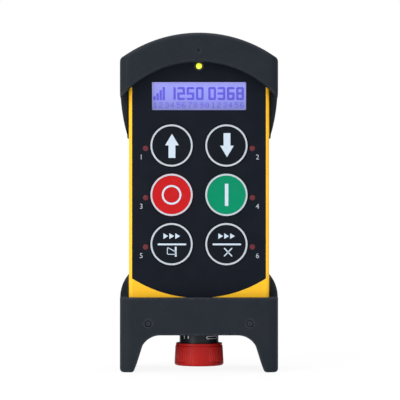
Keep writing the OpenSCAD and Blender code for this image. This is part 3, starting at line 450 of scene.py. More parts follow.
def sleeved_cell(name):
    """A round cell: printed sleeve in two colours, bright metal at both ends."""
    material, shader, grain = grained_material(name, 0.6, 8.0)
    low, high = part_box("battery_cells")
    share = spread(axes_of(own_place(material.node_tree))["Z"], low.z, high.z)
    band = calculate("GREATER_THAN", share, 0.7)
    off_middle = calculate("ABSOLUTE", minus(share, 0.5))
    metal_end = calculate("GREATER_THAN", off_middle, 0.478)
    shade = toned(grain, 0.25, mixed(band, (40, 44, 42), (92, 132, 96)), (70, 84, 74))
    shade = mixed(metal_end, shade, (200, 198, 190))
    fill(shader, Base_Color=shade, Metallic=metal_end, Roughness=patchy(grain, 0.28, 0.38))
    lay_relief(shader, grain["Height"], 0.08, 0.03, 0.2)
    return material


FILM = {"grain_mm": 0.16, "relief": 0.15, "relief_mm": 0.02, "dust": 0.02}
KEY_FILM = {**FILM, "edge_mm": 0.12}
CAP_SURFACE = {"grain_mm": 0.25, "relief": 0.12, "dust": 0.03, "scratches": 0.14, "specular": 0.12}

FINISHES = {
    "case_yellow": moulded(
        "satin yellow case", (255, 195, 32), (250, 185, 28), 0.38, grain_mm=0.25, relief=0.14,
        edge_mm=0.35, wear_and_highlight=(255, 222, 120), dust=0.04, scratches=0.14, specular=0.25,
    ),
    # The rubber's lighter edges are wear and also a painted highlight; its set-back front faces get
    # painted shade.
    "bumper_rubber": moulded(
        "grey-black rubber", (33, 38, 45), (28, 33, 40), 0.62, grain_mm=0.32, relief=0.3, edge_mm=1.0,
        wear_and_highlight=(78, 84, 91), wear_and_highlight_amount=0.9, dust=0.04, scratches=0.1, specular=0.08, recess=0.3,
    ),
    "foil_black": moulded(
        "matt black foil", (19, 23, 31), (23, 27, 36), 0.5, edge_mm=0.1, wear_and_highlight=(60, 64, 72),
        scratches=0.06, specular=0.04, **FILM,
    ),
    "key_black": moulded(
        "matt black key", (18, 22, 29), (22, 26, 33), 0.46, wear_and_highlight=(52, 56, 64), scratches=0.08,
        specular=0.04, **KEY_FILM,
    ),
    "key_red": moulded(
        "matt red key", (186, 27, 30), (177, 24, 27), 0.46, wear_and_highlight=(228, 96, 92), scratches=0.1,
        specular=0.06, **KEY_FILM,
    ),
    "key_green": moulded(
        "matt green key", (5, 133, 95), (5, 126, 90), 0.46, wear_and_highlight=(90, 180, 150), scratches=0.1,
        specular=0.06, **KEY_FILM,
    ),
    "switch_black": moulded("black switch plastic", (28, 28, 30), (34, 34, 36), 0.5, grain_mm=0.3),
    "window_clear": clear_window("clear window"),
    "display_blue": lit_display("lit display"),
    "backlight_white": moulded(
        "milky light guide", (236, 235, 230), (226, 226, 222), 0.4, grain_mm=0.4
    ),
    "lamp_green": glowing_lens("yellow-green lamp", (236, 246, 60), (214, 236, 40), 0.55),
    "lamp_red": glowing_lens(
        "dark red lamp", (102, 42, 47), (86, 36, 41), 0.02, rough=0.5, coat=0.0, specular=0.15
    ),
    "led_white": moulded(
        "clear diode", (238, 234, 216), (250, 236, 150), 0.2, grain_mm=0.6, patch_mm=1.6, coat=0.5
    ),
    "board_green": circuit_board("lacquered board"),
    "steel": drawn_metal("zinc plated steel", (200, 201, 204), (178, 180, 186), 0.3),
    "steel_black": drawn_metal("blackened steel", (62, 66, 71), (48, 52, 57), 0.42),
    "spring_steel": drawn_metal("spring wire", (196, 197, 200), (168, 170, 176), 0.24, along="X"),
    "chip_black": moulded(
        "matt chip resin", (26, 26, 28), (36, 36, 38), 0.55, grain_mm=0.2, patch_mm=5.0
    ),
    "connector_ivory": moulded(
        "ivory connector", (232, 226, 204), (222, 214, 190), 0.45, grain_mm=0.4
    ),
    "can_tin": drawn_metal("tinned can", (212, 212, 208), (190, 192, 190), 0.26, along="X"),
    "antenna_brass": drawn_metal("brass wire", (214, 172, 92), (186, 140, 66), 0.26, along="X"),
    "cap_red": moulded(
        "satin red cap", (192, 34, 32), (180, 30, 28), 0.4, edge_mm=0.3, wear_and_highlight=(222, 92, 82),
        **CAP_SURFACE,
    ),
    "collar_black": moulded(
        "satin black collar", (30, 34, 40), (25, 28, 33), 0.4, grain_mm=0.25, relief=0.14,
        edge_mm=0.2, wear_and_highlight=(74, 78, 84), dust=0.04, specular=0.2,
    ),
    "seal_rubber": moulded("soft seal rubber", (36, 36, 38), (46, 46, 48), 0.7, grain_mm=0.3),
    "block_blue": moulded("blue contact block", (44, 76, 116), (36, 64, 100), 0.42),
    "tray_black": moulded("black tray plastic", (36, 36, 39), (44, 44, 47), 0.48, grain_mm=0.3),
    "cell_sleeve": sleeved_cell("sleeved cells"),
}
RING_INK = printed_ink("pale ring ink", (184, 191, 201), (176, 183, 193))
SYMBOL_INK = printed_ink("pale symbol ink", (194, 209, 223), (187, 202, 216))
NUMBER_INK = printed_ink("grey number ink", (182, 188, 198), (168, 174, 186))
COLLAR_INK = printed_ink("grey collar marks", (196, 198, 204), (176, 178, 186))
SURROUND_INK = printed_ink("black lamp surround", (14, 16, 14), (20, 22, 20))
DOT_INK = display_dots("violet display dots")
# The ribs are a lighter red than the cap: a painted highlight along each rib, with worn edges.
HIGHLIT_RED_RIBS = moulded(
    "red ribs with painted highlight", (212, 52, 46), (196, 44, 40), 0.36, edge_mm=0.2, wear_and_highlight=(230, 110, 98),
    wear_and_highlight_amount=0.4, **CAP_SURFACE,
)

frame_slots = {row["node"]: row["material_slot"] for row in frame["record"]["subparts"]}
for name, slot in frame_slots.items():
    node = frame["nodes"][name]
    node.data.materials.clear()
    node.data.materials.append(FINISHES[slot])
    for material_slot in node.material_slots:
        material_slot.link = "DATA"


# Mesh making

FLAT_FACE_AREA = 60 * MM**2
SAME_POINT = 1e-7
CIRCLE_STEPS, END_STEPS = 64, 6
INK_THICKNESS, INK_AHEAD = 0.06, 0.01


def shaded(bm, sharp=34):
    """A finished mesh: outward faces, smooth but for its large flat faces and its sharp edges.

    Sharp is the angle in degrees from which an edge is one.
    """
    bmesh.ops.recalc_face_normals(bm, faces=bm.faces)
    for face in bm.faces:
        face.smooth = len(face.verts) < 10 or face.calc_area() < FLAT_FACE_AREA
    for edge in bm.edges:
        two = len(edge.link_faces) == 2
        edge.smooth = two and edge.calc_face_angle() < math.radians(sharp)
    mesh = bpy.data.meshes.new("mesh")
    bm.to_mesh(mesh)
    bm.free()
    return mesh


def placed_object(name, data):
    """A new object in the scene."""
    thing = bpy.data.objects.new(name, data)
    bpy.context.scene.collection.objects.link(thing)
    return thing


def made_mesh(holder, place=None, modifier=None):
    """What a curve, a text or a node tree makes, as a plain mesh that is put in its place."""
    bpy.context.view_layer.update()
    made = holder.evaluated_get(bpy.context.evaluated_depsgraph_get())
    mesh = bpy.data.meshes.new_from_object(made)
    if modifier:
        holder.modifiers.remove(modifier)
    bpy.data.objects.remove(holder)
    bm = bmesh.new()
    bm.from_mesh(mesh)
    if place:
        bm.transform(place)
    bmesh.ops.remove_doubles(bm, verts=bm.verts, dist=SAME_POINT)
    bpy.data.meshes.remove(mesh)
    return shaded(bm)


def piece_of(name, mesh, body, slot, *nodes, material=None):
    """A finished piece that rides on a body, and stands for the nodes named last."""
    mesh.name = name
    mesh.materials.clear()
    mesh.materials.append(material or FINISHES[slot])
    piece = placed_object(name, mesh)
    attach(piece, body)
    if nodes:
        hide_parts(*nodes)
    return piece


def front_place(x, y, z):
    """Turns what lies flat to the front, and moves it there."""
    return Matrix.Translation((x, y, z)) @ Matrix.Rotation(math.pi / 2, 4, "X")


def turned(profile, segments, place):
    """A profile of (radius, height) in millimetres, turned about Z and put in its place.

    It starts and ends on the axis, or else at the same point.
    """
    bm = bmesh.new()
    angles = [2 * math.pi * i / segments for i in range(segments)]
    rings = []
    for radius, height in profile:
        spots = [(radius * MM * math.cos(a), radius * MM * math.sin(a), height * MM) for a in angles]
        rings.append([bm.verts.new(spot) for spot in (spots if radius else spots[:1])])
    for lower, upper in zip(rings, rings[1:]):
        for i in range(segments):
            j = (i + 1) % segments
            around = ((lower, i), (lower, j), (upper, j), (upper, i))
            bm.faces.new(list(dict.fromkeys(ring[k % len(ring)] for ring, k in around)))
    bmesh.ops.remove_doubles(bm, verts=bm.verts, dist=10 * SAME_POINT)
    bm.transform(place)
    return shaded(bm)


def rounded_profile(corners, steps=4):
    """Corners of (radius, height, rounding) as a profile with those corners rounded."""
    path = []
    for i, (radius, height, rounding) in enumerate(corners):
        here = Vector((radius, height))
        if not rounding:
            path.append(tuple(here))
            continue
        before = Vector(corners[i - 1][:2]) - here
        after = Vector(corners[i + 1][:2]) - here
        first = here + before.normalized() * rounding
        last = here + after.normalized() * rounding
        for step in range(steps + 1):
            t = step / steps
            path.append(tuple(first * (1 - t) ** 2 + here * 2 * t * (1 - t) + last * t**2))
    return path


def flat_mesh(loops, place):
    """Outlines in millimetres, filled, as thick as ink and put in their place."""
    curve = bpy.data.curves.new("outline", "CURVE")
    curve.dimensions = "2D"
    curve.fill_mode = "BOTH"
    curve.extrude = INK_THICKNESS * MM / 2
    for loop in loops:
        spline = curve.splines.new("POLY")
        spline.points.add(len(loop) - 1)
        for point, (x, z) in zip(spline.points, loop):
            point.co = (x * MM, z * MM, 0, 1)
        spline.use_cyclic_u = True
    return made_mesh(placed_object("outline", curve), place)


def joined(meshes):
    """Several meshes as one."""
    bm = bmesh.new()
    for mesh in meshes:
        bm.from_mesh(mesh)
        bpy.data.meshes.remove(mesh)
    return shaded(bm)


def ring_loop(radius):
    """A circle's points."""
    angles = [2 * math.pi * i / CIRCLE_STEPS for i in range(CIRCLE_STEPS)]
    return [(radius * math.cos(a), radius * math.sin(a)) for a in angles]


def bar_loop(start, end, width):
    """A bar with round ends from one point to another."""
    start, end = Vector(start), Vector(end)
    heading = math.atan2(end.y - start.y, end.x - start.x)
    points = []
    for centre, first in ((end, heading - math.pi / 2), (start, heading + math.pi / 2)):
        for i in range(END_STEPS + 1):
            a = first + math.pi * i / END_STEPS
            points.append((centre.x + width / 2 * math.cos(a), centre.y + width / 2 * math.sin(a)))
    return points


# Geometry trees


def geometry_tree(name, *numbers, **kinds):
    """The inputs of a new geometry tree: numbers, those of other kinds and a material."""
    tree = bpy.data.node_groups.new(name, "GeometryNodeTree")
    inputs = {"Geometry": "Geometry", **kinds, **dict.fromkeys(numbers, "Float"), "Material": "Material"}
    for label, kind in inputs.items():
        tree.interface.new_socket(label, in_out="INPUT", socket_type="NodeSocket" + kind)
    tree.interface.new_socket("Geometry", in_out="OUTPUT", socket_type="NodeSocketGeometry")
    return tree.nodes.new("NodeGroupInput").outputs


def shape(kind, *first, **named):
    """The first result of a geometry node."""
    return add_node("GeometryNode" + kind, *first, **named).outputs[0]


def instances(points, instance, rotation):
    """One thing at every point."""
    return shape("InstanceOnPoints", Points=points, Instance=instance, Rotation=rotation)


def finish_tree(given, instance, rotation=(0.0, 0.0, 0.0), points=None):
    """One thing at every point, then Realize Instances and Set Material: the end of every tree."""
    placed = instances(points or given["Geometry"], instance, rotation)
    dressed = shape(
        "SetMaterial", Geometry=shape("RealizeInstances", placed), Material=given["Material"]
    )
    return add_node("NodeGroupOutput", Geometry=dressed).id_data


def united(*parts):
    """Several parts as one."""
    node = add_node("GeometryNodeJoinGeometry", tree=parts[0].id_data)
    for part in parts:
        put(node.inputs[0], part)
    return node.outputs[0]


def shifted(part, rise):
    """A part moved along Z."""
    return shape("Transform", Geometry=part, Translation=vector_of(Z=rise))


def drum(sides, radius, height):
    """An upright cylinder's mesh and its top face."""
    node = add_node("GeometryNodeMeshCylinder", Vertices=sides, Radius=radius, Depth=height)
    return node.outputs["Mesh"], node.outputs["Top"]


def ball(segments, rings, radius):
    """A ball."""
    return shape("MeshUVSphere", Segments=segments, Rings=rings, Radius=radius)


def raised(mesh, top, rise):
    """A mesh whose top face is drawn out, and the new top face."""
    node = add_node(
        "GeometryNodeExtrudeMesh", Mesh=mesh, Selection=top, Offset_Scale=rise, Individual=False
    )
    return node.outputs["Mesh"], node.outputs["Top"]


def narrowed(mesh, top, share):
    """A mesh whose top face is made smaller."""
    return shape("ScaleElements", Geometry=mesh, Selection=top, Scale=share)


def round_bar(radius, length):
    """An upright bar with round ends: a ball whose halves are pulled apart."""
    side = calculate("SIGN", axes_of(shape("InputPosition", tree=radius.id_data))["Z"])
    reach = minus(times(length, 0.5), radius)
    pull = vector_of(Z=times(side, reach))
    return shape("SetPosition", Geometry=ball(12, 8, radius), Offset=pull)


def swept(path, section):
    """A section drawn along a path."""
    return shape("CurveToMesh", Curve=path, Profile_Curve=section, Fill_Caps=True)


def grown(points, tree, sizes, material):
    """What a geometry tree makes of some points, as a plain mesh."""
    seed = bpy.data.meshes.new("seed")
    seed.from_pydata(points, [], [])
    holder = placed_object("seed", seed)
    modifier = holder.modifiers.new("growth", "NODES")
    modifier.node_group = tree
    values = {**sizes, "Material": material}
    for item in tree.interface.items_tree:
        if item.item_type == "SOCKET" and item.in_out == "INPUT" and item.name in values:
            modifier[item.identifier] = values[item.name]
    mesh = made_mesh(holder, modifier=modifier)
    bpy.data.meshes.remove(seed)
    return mesh


def grown_piece(name, points, tree, sizes, body, slot, *nodes, material=None):
    """A finished piece from a geometry tree."""
    mesh = grown(points, tree, sizes, material or FINISHES[slot])
    return piece_of(name, mesh, body, slot, *nodes, material=material)


# Shares of a screw head's height and radius
HEAD_STRAIGHT, HEAD_CHAMFER = 0.75, 0.25
HEAD_TOP = HEAD_STRAIGHT / 2 + HEAD_CHAMFER
HEAD_RIM_SHARE = 0.84


def screw_tree():
    """Screws at the given points: a head with a chamfer and a six-sided recess, and a shank."""
    given = geometry_tree(
        "screws", "Head Radius", "Head Height", "Recess Radius", "Recess Depth", "Shank Radius",
        "Shank Length", Turn="Vector",
    )
    head_height, head_radius = given["Head Height"], given["Head Radius"]
    mesh, top = drum(24, head_radius, times(head_height, HEAD_STRAIGHT))
    mesh, top = raised(mesh, top, times(head_height, HEAD_CHAMFER))
    mesh, mouth = raised(narrowed(mesh, top, HEAD_RIM_SHARE), top, 0.0)
    rim_radius = times(head_radius, HEAD_RIM_SHARE)
    mesh = narrowed(mesh, mouth, calculate("DIVIDE", given["Recess Radius"], rim_radius))
    axes = axes_of(shape("InputPosition", tree=head_radius.id_data))
    sixth = math.pi / 3
    angle = calculate("FLOORED_MODULO", calculate("ARCTAN2", axes["Y"], axes["X"]), sixth)
    off_middle = calculate("COSINE", minus(angle, sixth / 2))
    pull = calculate("DIVIDE", math.cos(sixth / 2), off_middle)
    six_sided = vector_of(X=times(axes["X"], pull), Y=times(axes["Y"], pull), Z=axes["Z"])
    mesh = shape("SetPosition", Geometry=mesh, Selection=mouth, Position=six_sided)
    head, _ = raised(mesh, mouth, times(given["Recess Depth"], -1.0))
    shank, _ = drum(16, given["Shank Radius"], given["Shank Length"])
    screw = united(head, shifted(shank, times(given["Shank Length"], -0.5)))
    return finish_tree(given, shifted(screw, times(head_height, -HEAD_TOP)), given["Turn"])


def rib_tree():
    """Ribs round a cap, in four groups: thin upright bars with round ends."""
    given = geometry_tree(
        "cap ribs", "Step", "First Turn", "Ring Radius", "Middle Height", "Rib Radius", "Rib Length",
        "Slope", Count="Int",
    )
    count, ring_radius = given["Count"], given["Ring Radius"]
    line = shape("MeshLine", Count=times(count, 4.0), Offset=(0.0, 0.0, 0.0))
    index = shape("InputIndex", tree=count.id_data)
    group = calculate("FLOOR", calculate("DIVIDE", index, count))
    off_middle = minus(calculate("FLOORED_MODULO", index, count), times(minus(count, 1.0), 0.5))
    quarter = calculate("MULTIPLY_ADD", group, math.pi / 2, given["First Turn"])
    angle = calculate("ADD", quarter, times(off_middle, given["Step"]))
    spot = vector_of(
        X=times(calculate("COSINE", angle), ring_radius),
        Y=times(calculate("SINE", angle), ring_radius), Z=given["Middle Height"],
    )
    rib = round_bar(given["Rib Radius"], given["Rib Length"])
    lean = vector_of(Y=times(given["Slope"], -1.0), Z=angle)
    spots = shape("SetPosition", Geometry=line, Position=spot)
    return finish_tree(given, rib, lean, spots)


def ring_tree():
    """A flat printed ring with soft edges round the given point."""
    given = geometry_tree("printed ring", "Radius", "Width", "Thickness")
    thickness = given["Thickness"]
    path = shape("CurvePrimitiveCircle", Resolution=96, Radius=given["Radius"])
    section = shape("CurvePrimitiveQuadrilateral", Width=given["Width"], Height=thickness)
    section = shape("FilletCurve", Curve=section, Radius=times(thickness, 0.3))
    return finish_tree(given, swept(path, section), FRONT_TURN)


def dot_tree():
    """Square display dots at the given points."""
    given = geometry_tree("display dots", "Side", "Thickness")
    size = vector_of(X=given["Side"], Y=given["Thickness"], Z=given["Side"])
    return finish_tree(given, shape("MeshCube", Size=size))


def lens_tree():
    """Small lenses at the given points: a low dome on a straight body that reaches inwards."""
    given = geometry_tree(
        "lenses", "Radius", "Dome", "Length", "Flange", "Flange Start", "Flange Thickness"
    )
    radius = given["Radius"]
    flat = vector_of(X=1.0, Y=1.0, Z=calculate("DIVIDE", given["Dome"], radius))
    parts = [shape("Transform", Geometry=ball(24, 12, radius), Scale=flat)]
    flange_radius = calculate("ADD", radius, given["Flange"])
    for drum_radius, start, length in (
        (radius, 0.0, given["Length"]), (flange_radius, given["Flange Start"], given["Flange Thickness"])
    ):
        mesh, _ = drum(24, drum_radius, length)
        parts.append(shifted(mesh, minus(times(length, -0.5), start)))
    return finish_tree(given, united(*parts), FRONT_TURN)


def grip_tree():
    """Grip bars in a row up from each given point: level bars with round ends."""
    given = geometry_tree("grip bars", "Pitch", "Bar Radius", "Bar Length", Count="Int")
    line = shape("MeshLine", Count=given["Count"], Offset=vector_of(Z=given["Pitch"]))
    bar = round_bar(given["Bar Radius"], given["Bar Length"])
    return finish_tree(given, instances(line, bar, (0.0, math.pi / 2, 0.0)))


def coil_tree():
    """Wire springs that rise from the given points."""
    given = geometry_tree("coil springs", "Turns", "Coil Radius", "Wire Radius", "Rise")
    coil_radius = given["Coil Radius"]
    path = shape(
        "CurveSpiral", Resolution=32, Rotations=given["Turns"], Start_Radius=coil_radius,
        End_Radius=coil_radius, Height=given["Rise"],
    )
    section = shape("CurvePrimitiveCircle", Resolution=12, Radius=given["Wire Radius"])
    return finish_tree(given, swept(path, section))


COILS, SCREWS, RIBS, RINGS = coil_tree(), screw_tree(), rib_tree(), ring_tree()
DOTS, LENSES, GRIPS = dot_tree(), lens_tree(), grip_tree()


# The two rubber bumpers, with their edges rounded, in millimetres

BUMPER_ROUNDING, LEAST_CHAIN = 0.9, 300
FOOT_W, LEVEL = 3, 0.05


def merged_copy(node):
    """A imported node's mesh, with the points merged that lie together."""
    bm = bmesh.new()
    bm.from_mesh(frame["nodes"][node].data)
    bmesh.ops.remove_doubles(bm, verts=bm.verts, dist=2e-6)
    return bm


def skin_of(node):
    """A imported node's mesh as one skin of large faces."""
    bm = merged_copy(node)
    bmesh.ops.dissolve_limit(
        bm, angle_limit=math.radians(0.4), verts=bm.verts, edges=bm.edges, use_dissolve_boundaries=False
    )
    return bm


def bevelled(bm, edges, width_mm, segments, clamp=True):
    """Cuts some edges back and rounds them."""
    bmesh.ops.bevel(
        bm, geom=edges, offset=width_mm * MM, offset_type="OFFSET", segments=segments, profile=0.5,
        affect="EDGES", clamp_overlap=clamp,
    )


def long_chains(edges):
    """The edges that join end to end in long chains."""
    waiting = set(edges)
    kept = set()
    while waiting:
        chain = [waiting.pop()]
        for edge in chain:
            near = {e for v in edge.verts for e in v.link_edges} & waiting
            waiting -= near
            chain.extend(near)
        if sum(edge.calc_length() for edge in chain) >= LEAST_CHAIN * MM:
            kept.update(chain)
    return [edge for edge in edges if edge in kept]


def softened_bumper(name, node, least_angle, feet_mm=0):
    """A bumper whose long outlines are rounded off, more so at the inner edges of its feet.

    Edges that turn by less than the least angle, in degrees, stay as they are.
    """
    bm = skin_of(node)
    if feet_mm:
        inner_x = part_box(node)[1].x - FOOT_W * MM
        inner = [
            e for e in bm.edges
            if all(v.co.z < LEVEL * MM and abs(v.co.x) < inner_x for v in e.verts)
            and abs(e.verts[0].co.x - e.verts[1].co.x) < LEVEL * MM
        ]
        bevelled(bm, inner, feet_mm, segments=3)
    turn = math.radians(least_angle)
    sharp = [e for e in bm.edges if len(e.link_faces) == 2 and e.calc_face_angle() > turn]
    bevelled(bm, long_chains(sharp), BUMPER_ROUNDING, segments=3, clamp=False)
    piece_of(name, shaded(bm, sharp=30), "case", "bumper_rubber", node)


softened_bumper("hood", "top_bumper", least_angle=40)
softened_bumper("boot", "bottom_bumper", least_angle=60, feet_mm=1.4)


# The two shells of the case, with a fine groove where they meet, in millimetres

GROOVE_W, RIM_W, ARCH_H, ON_SEAM = 0.55, 0.6, 12, 0.01
seam_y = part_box("front_shell")[1].y


def grooved_shell(name, node):
    """A shell whose outer edge at the seam is bevelled."""
    bm = skin_of(node)
    low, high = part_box(node)
    middle = (low + high) / 2
    rim = RIM_W * MM
    edges = []
    for edge in bm.edges:
        if len(edge.link_faces) != 2 or any(abs(v.co.y - seam_y) > ON_SEAM * MM for v in edge.verts):
            continue
        on_seam = [abs(face.normal.y) > 0.99 for face in edge.link_faces]
        if sum(on_seam) != 1:
            continue
        side = edge.link_faces[on_seam.index(False)]
        point = (edge.verts[0].co + edge.verts[1].co) / 2
        outwards = side.normal.x * point.x + side.normal.z * (point.z - middle.z)
        at_end = point.z < low.z + rim or point.z > high.z - ARCH_H * MM
        if outwards > 0 and (at_end or abs(point.x) > high.x - rim):
            edges.append(edge)
    bevelled(bm, edges, GROOVE_W, segments=1)
    piece_of(name, shaded(bm, sharp=30), "case", "case_yellow", node)


grooved_shell("front_shell_skin", "front_shell")
grooved_shell("rear_shell_skin", "rear_shell")


# The six keys, each with a dark lining in the case that paints shade round it, its ring and its symbol,
# in millimetres

KEY_SLOTS = ["key_black", "key_black", "key_red", "key_green", "key_black", "key_black"]
ARROW = [(0.2, 6.3), (-3.5, 0.1), (-1.65, 0.1), (-1.65, -6.7), (2.05, -6.7), (2.05, 0.1), (3.9, 0.1)]
BAR = [(-0.85, -6), (1.05, -6), (1.05, 6), (-0.85, 6)]
LINE_ACROSS = bar_loop((-7.1, -0.12), (7.5, -0.12), 0.95)
GO_MARKS = [[[(x - 1.2, 5.9), (x - 1.2, 2.8), (x + 1.4, 4.35)]] for x in (-3.2, 0, 3.2)]
HORN = [
    bar_loop((-2.25, -1.7), (-2.25, -5.5), 0.42),
    bar_loop((-2.25, -5.5), (2.2, -5.5), 0.42),
    bar_loop((-2.25, -1.7), (2.1, -4.1), 0.42),
    [(1.75, -1.4), (1.75, -6.75), (2.7, -6.75), (2.7, -1.4)],
]
CROSS = [bar_loop((-1.1, -2.3), (2.9, -6.4), 0.62), bar_loop((-1.1, -6.4), (2.9, -2.3), 0.62)]
KEY_SYMBOLS = [
    [[ARROW]],
    [[[(x + 0.1, -z) for x, z in reversed(ARROW)]]],
    [[ring_loop(5.3), ring_loop(4.3)]],
    [[BAR]],
    [[LINE_ACROSS]] + GO_MARKS + [[stroke] for stroke in HORN],
    [[LINE_ACROSS]] + GO_MARKS + [[stroke] for stroke in CROSS],
]
KEY_SEGMENTS = 96
KEY_DISC_T, KEY_DISC_INSET = 2.2, 0.1
KEY_RIM_W, KEY_RIM_SLOPE, KEY_DISH = 1.15, 0.1, 0.2
KEY_STEM_R, KEY_FOOT_R, KEY_FOOT_T = 2.2, 3.0, 0.8
RING_INSET, RING_W, RING_T = 0.66, 0.94, 0.08
WELL_GAP, WELL_DEPTH, WELL_TOP = 0.28, 3.38, 1.45
WELL_WALL, WELL_LEDGE_W, WELL_LEDGE_T = 0.12, 0.6, 0.07


def key_profile(radius, front, back):
    """A key from its foot, up its stem, round its disc and over its rim to its dished face."""
    disc_r, disc_back = radius - KEY_DISC_INSET, front - KEY_DISC_T
    rim_r, foot_top, face = radius - KEY_RIM_W, back + KEY_FOOT_T, front - KEY_DISH
    return rounded_profile([
        (0, back, 0), (KEY_FOOT_R, back, 0.15), (KEY_FOOT_R, foot_top, 0.1), (KEY_STEM_R, foot_top, 0),
        (KEY_STEM_R, disc_back, 0), (disc_r, disc_back, 0.15), (disc_r, front, 0.1),
        (rim_r, front, 0.12), (rim_r - KEY_RIM_SLOPE, face, 0.1), (0, face, 0),
    ])


def well_profile(radius, front):
    """The dark lining round a key, which paints shade into the gap round it: a thin wall with a ledge at
    its foot.
    """
    wall_r, floor, top = radius + WELL_GAP, front - WELL_DEPTH, front - WELL_TOP
    inner_r, ledge_r, ledge = wall_r - WELL_WALL, wall_r - WELL_LEDGE_W, floor + WELL_LEDGE_T
    return [
        (ledge_r, floor), (wall_r, floor), (wall_r, top), (inner_r, top), (inner_r, ledge),
        (ledge_r, ledge), (ledge_r, floor),
    ]


for number, slot in enumerate(KEY_SLOTS, 1):
    name = f"key_{number}"
    low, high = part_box(name)
    centre = (low + high) / 2
    front, back = -low.y / MM, -high.y / MM
    radius = (high.x - low.x) / 2 / MM
    place = front_place(centre.x, 0, centre.z)
    button = turned(key_profile(radius, front, back), KEY_SEGMENTS, place)
    piece_of(f"key_{number}_button", button, name, slot, name)
    # A dark lining in the pocket: painted shade in the gap round the key
    shade_lining = turned(well_profile(radius, front), KEY_SEGMENTS, place)
    piece_of(f"key_{number}_well", shade_lining, "case", "foil_black")
    grown_piece(
        f"key_{number}_ring", [(centre.x, low.y - INK_AHEAD * MM, centre.z)], RINGS,
        {"Radius": (radius - RING_INSET) * MM, "Width": RING_W * MM, "Thickness": RING_T * MM},
        name, slot, material=RING_INK,
    )
    face = front_place(centre.x, low.y + KEY_DISH * MM - INK_AHEAD * MM, centre.z)
    symbol = joined([flat_mesh(loops, face) for loops in KEY_SYMBOLS[number - 1]])
    piece_of(f"key_{number}_symbol", symbol, name, slot, material=SYMBOL_INK)


# Numbers and lamps on the foil, in millimetres

FOIL_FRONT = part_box("keypad_foil")[0].y
NUMBER_H, NUMBER_LEFT_X, NUMBER_RIGHT_X, NUMBER_DROP = 2.75, -31.3, 31.65, 6.35
DIGIT_SHARE, DIGIT_THINNING = 0.7, 0.02
INDICATOR_R, INDICATOR_DOME, INDICATOR_DROP = 1.5, 0.2, 1.55
STATUS_DOME, SURROUND_GAP, SURROUND_W = 0.5, 0.55, 0.9
LENS_SINK, LENS_FLANGE, FLANGE_START, FLANGE_T = 0.05, 0.7, 4.35, 1.0


def number_mesh(text, x, z):
    """A small printed number on the foil."""
    letters = bpy.data.curves.new("number", "FONT")
    letters.body = text
    letters.size = NUMBER_H * MM / DIGIT_SHARE
    letters.align_x = "CENTER"
    letters.align_y = "CENTER"
    letters.extrude = INK_THICKNESS * MM / 2
    letters.offset = -DIGIT_THINNING * MM
    return made_mesh(placed_object("number", letters), front_place(x, FOIL_FRONT - INK_AHEAD * MM, z))


def lens_piece(name, node, slot, radius, dome, places):
    """A node's lenses at places of (x, z), with a flange that holds them behind the foil."""
    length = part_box(node)[1].y - FOIL_FRONT - LENS_SINK * MM
    grown_piece(
        name, [(x, FOIL_FRONT + LENS_SINK * MM, z) for x, z in places], LENSES,
        {"Radius": radius * MM, "Dome": dome * MM, "Length": length, "Flange": LENS_FLANGE * MM,
         "Flange Start": FLANGE_START * MM, "Flange Thickness": FLANGE_T * MM},
        "case", slot, node,
    )


indicator_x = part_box("indicator_lenses")[1].x - (INDICATOR_R + LENS_FLANGE) * MM
numbers = []
indicator_places = []
for number in range(1, 7):
    low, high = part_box(f"key_{number}")
    middle_z = (low.z + high.z) / 2
    on_left = number % 2 == 1
    number_x = (NUMBER_LEFT_X if on_left else NUMBER_RIGHT_X) * MM
    numbers.append(number_mesh(str(number), number_x, middle_z - NUMBER_DROP * MM))
    indicator_places.append((-indicator_x if on_left else indicator_x, middle_z - INDICATOR_DROP * MM))
piece_of("key_numbers", joined(numbers), "case", "foil_black", material=NUMBER_INK)
lens_piece(
    "indicator_domes", "indicator_lenses", "lamp_red", INDICATOR_R, INDICATOR_DOME, indicator_places
)

status_low, status_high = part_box("status_lens")
status_radius = (status_high.x - status_low.x) / 2 / MM - LENS_FLANGE
status_z = (status_low.z + status_high.z) / 2
lens_piece("status_dome", "status_lens", "lamp_green", status_radius, STATUS_DOME, [(0, status_z)])
grown_piece(
    "status_surround", [(0, FOIL_FRONT - INK_AHEAD * MM, status_z)], RINGS,
    {"Radius": (status_radius + SURROUND_GAP) * MM, "Width": SURROUND_W * MM,
     "Thickness": INK_THICKNESS * MM},
    "case", "foil_black", material=SURROUND_INK,
)


# What the display shows, in dots of (column, row) from its upper left

DOT_COLUMNS, DOT_ROWS = 120, 36
DOT_T, DOT_AHEAD = 0.03, 0.02
SMALL_DIGITS = {
    "0": "01110 10001 10011 10101 11001 10001 01110",
    "1": "00100 01100 00100 00100 00100 00100 01110",
    "2": "01110 10001 00001 00110 01000 10000 11111",
    "3": "01110 10001 00001 00110 00001 10001 01110",
    "4": "00010 00110 01010 10010 11111 00010 00010",
    "5": "11111 10000 11110 00001 00001 10001 01110",
    "6": "01110 10000 10000 11110 10001 10001 01110",
    "7": "11111 00001 00010 00100 01000 01000 01000",
    "8": "01110 10001 10001 01110 10001 10001 01110",
    "9": "01110 10001 10001 01111 00001 00001 01110",
}
SMALL_STEP, SMALL_ROW = 7, 26
WIDE, TALL, STROKE = 10, 17, 3
HALF_DOWN = (TALL - STROKE) // 2
LARGE_STEP, LARGE_ROW = 12, 6
DIGIT_BARS = {
    "a": (0, 0, WIDE, STROKE),
    "g": (0, HALF_DOWN, WIDE, STROKE),
    "d": (0, TALL - STROKE, WIDE, STROKE),
    "f": (0, 0, STROKE, HALF_DOWN + STROKE),
    "b": (WIDE - STROKE, 0, STROKE, HALF_DOWN + STROKE),
    "e": (0, HALF_DOWN, STROKE, HALF_DOWN + STROKE),
    "c": (WIDE - STROKE, HALF_DOWN, STROKE, HALF_DOWN + STROKE),
}
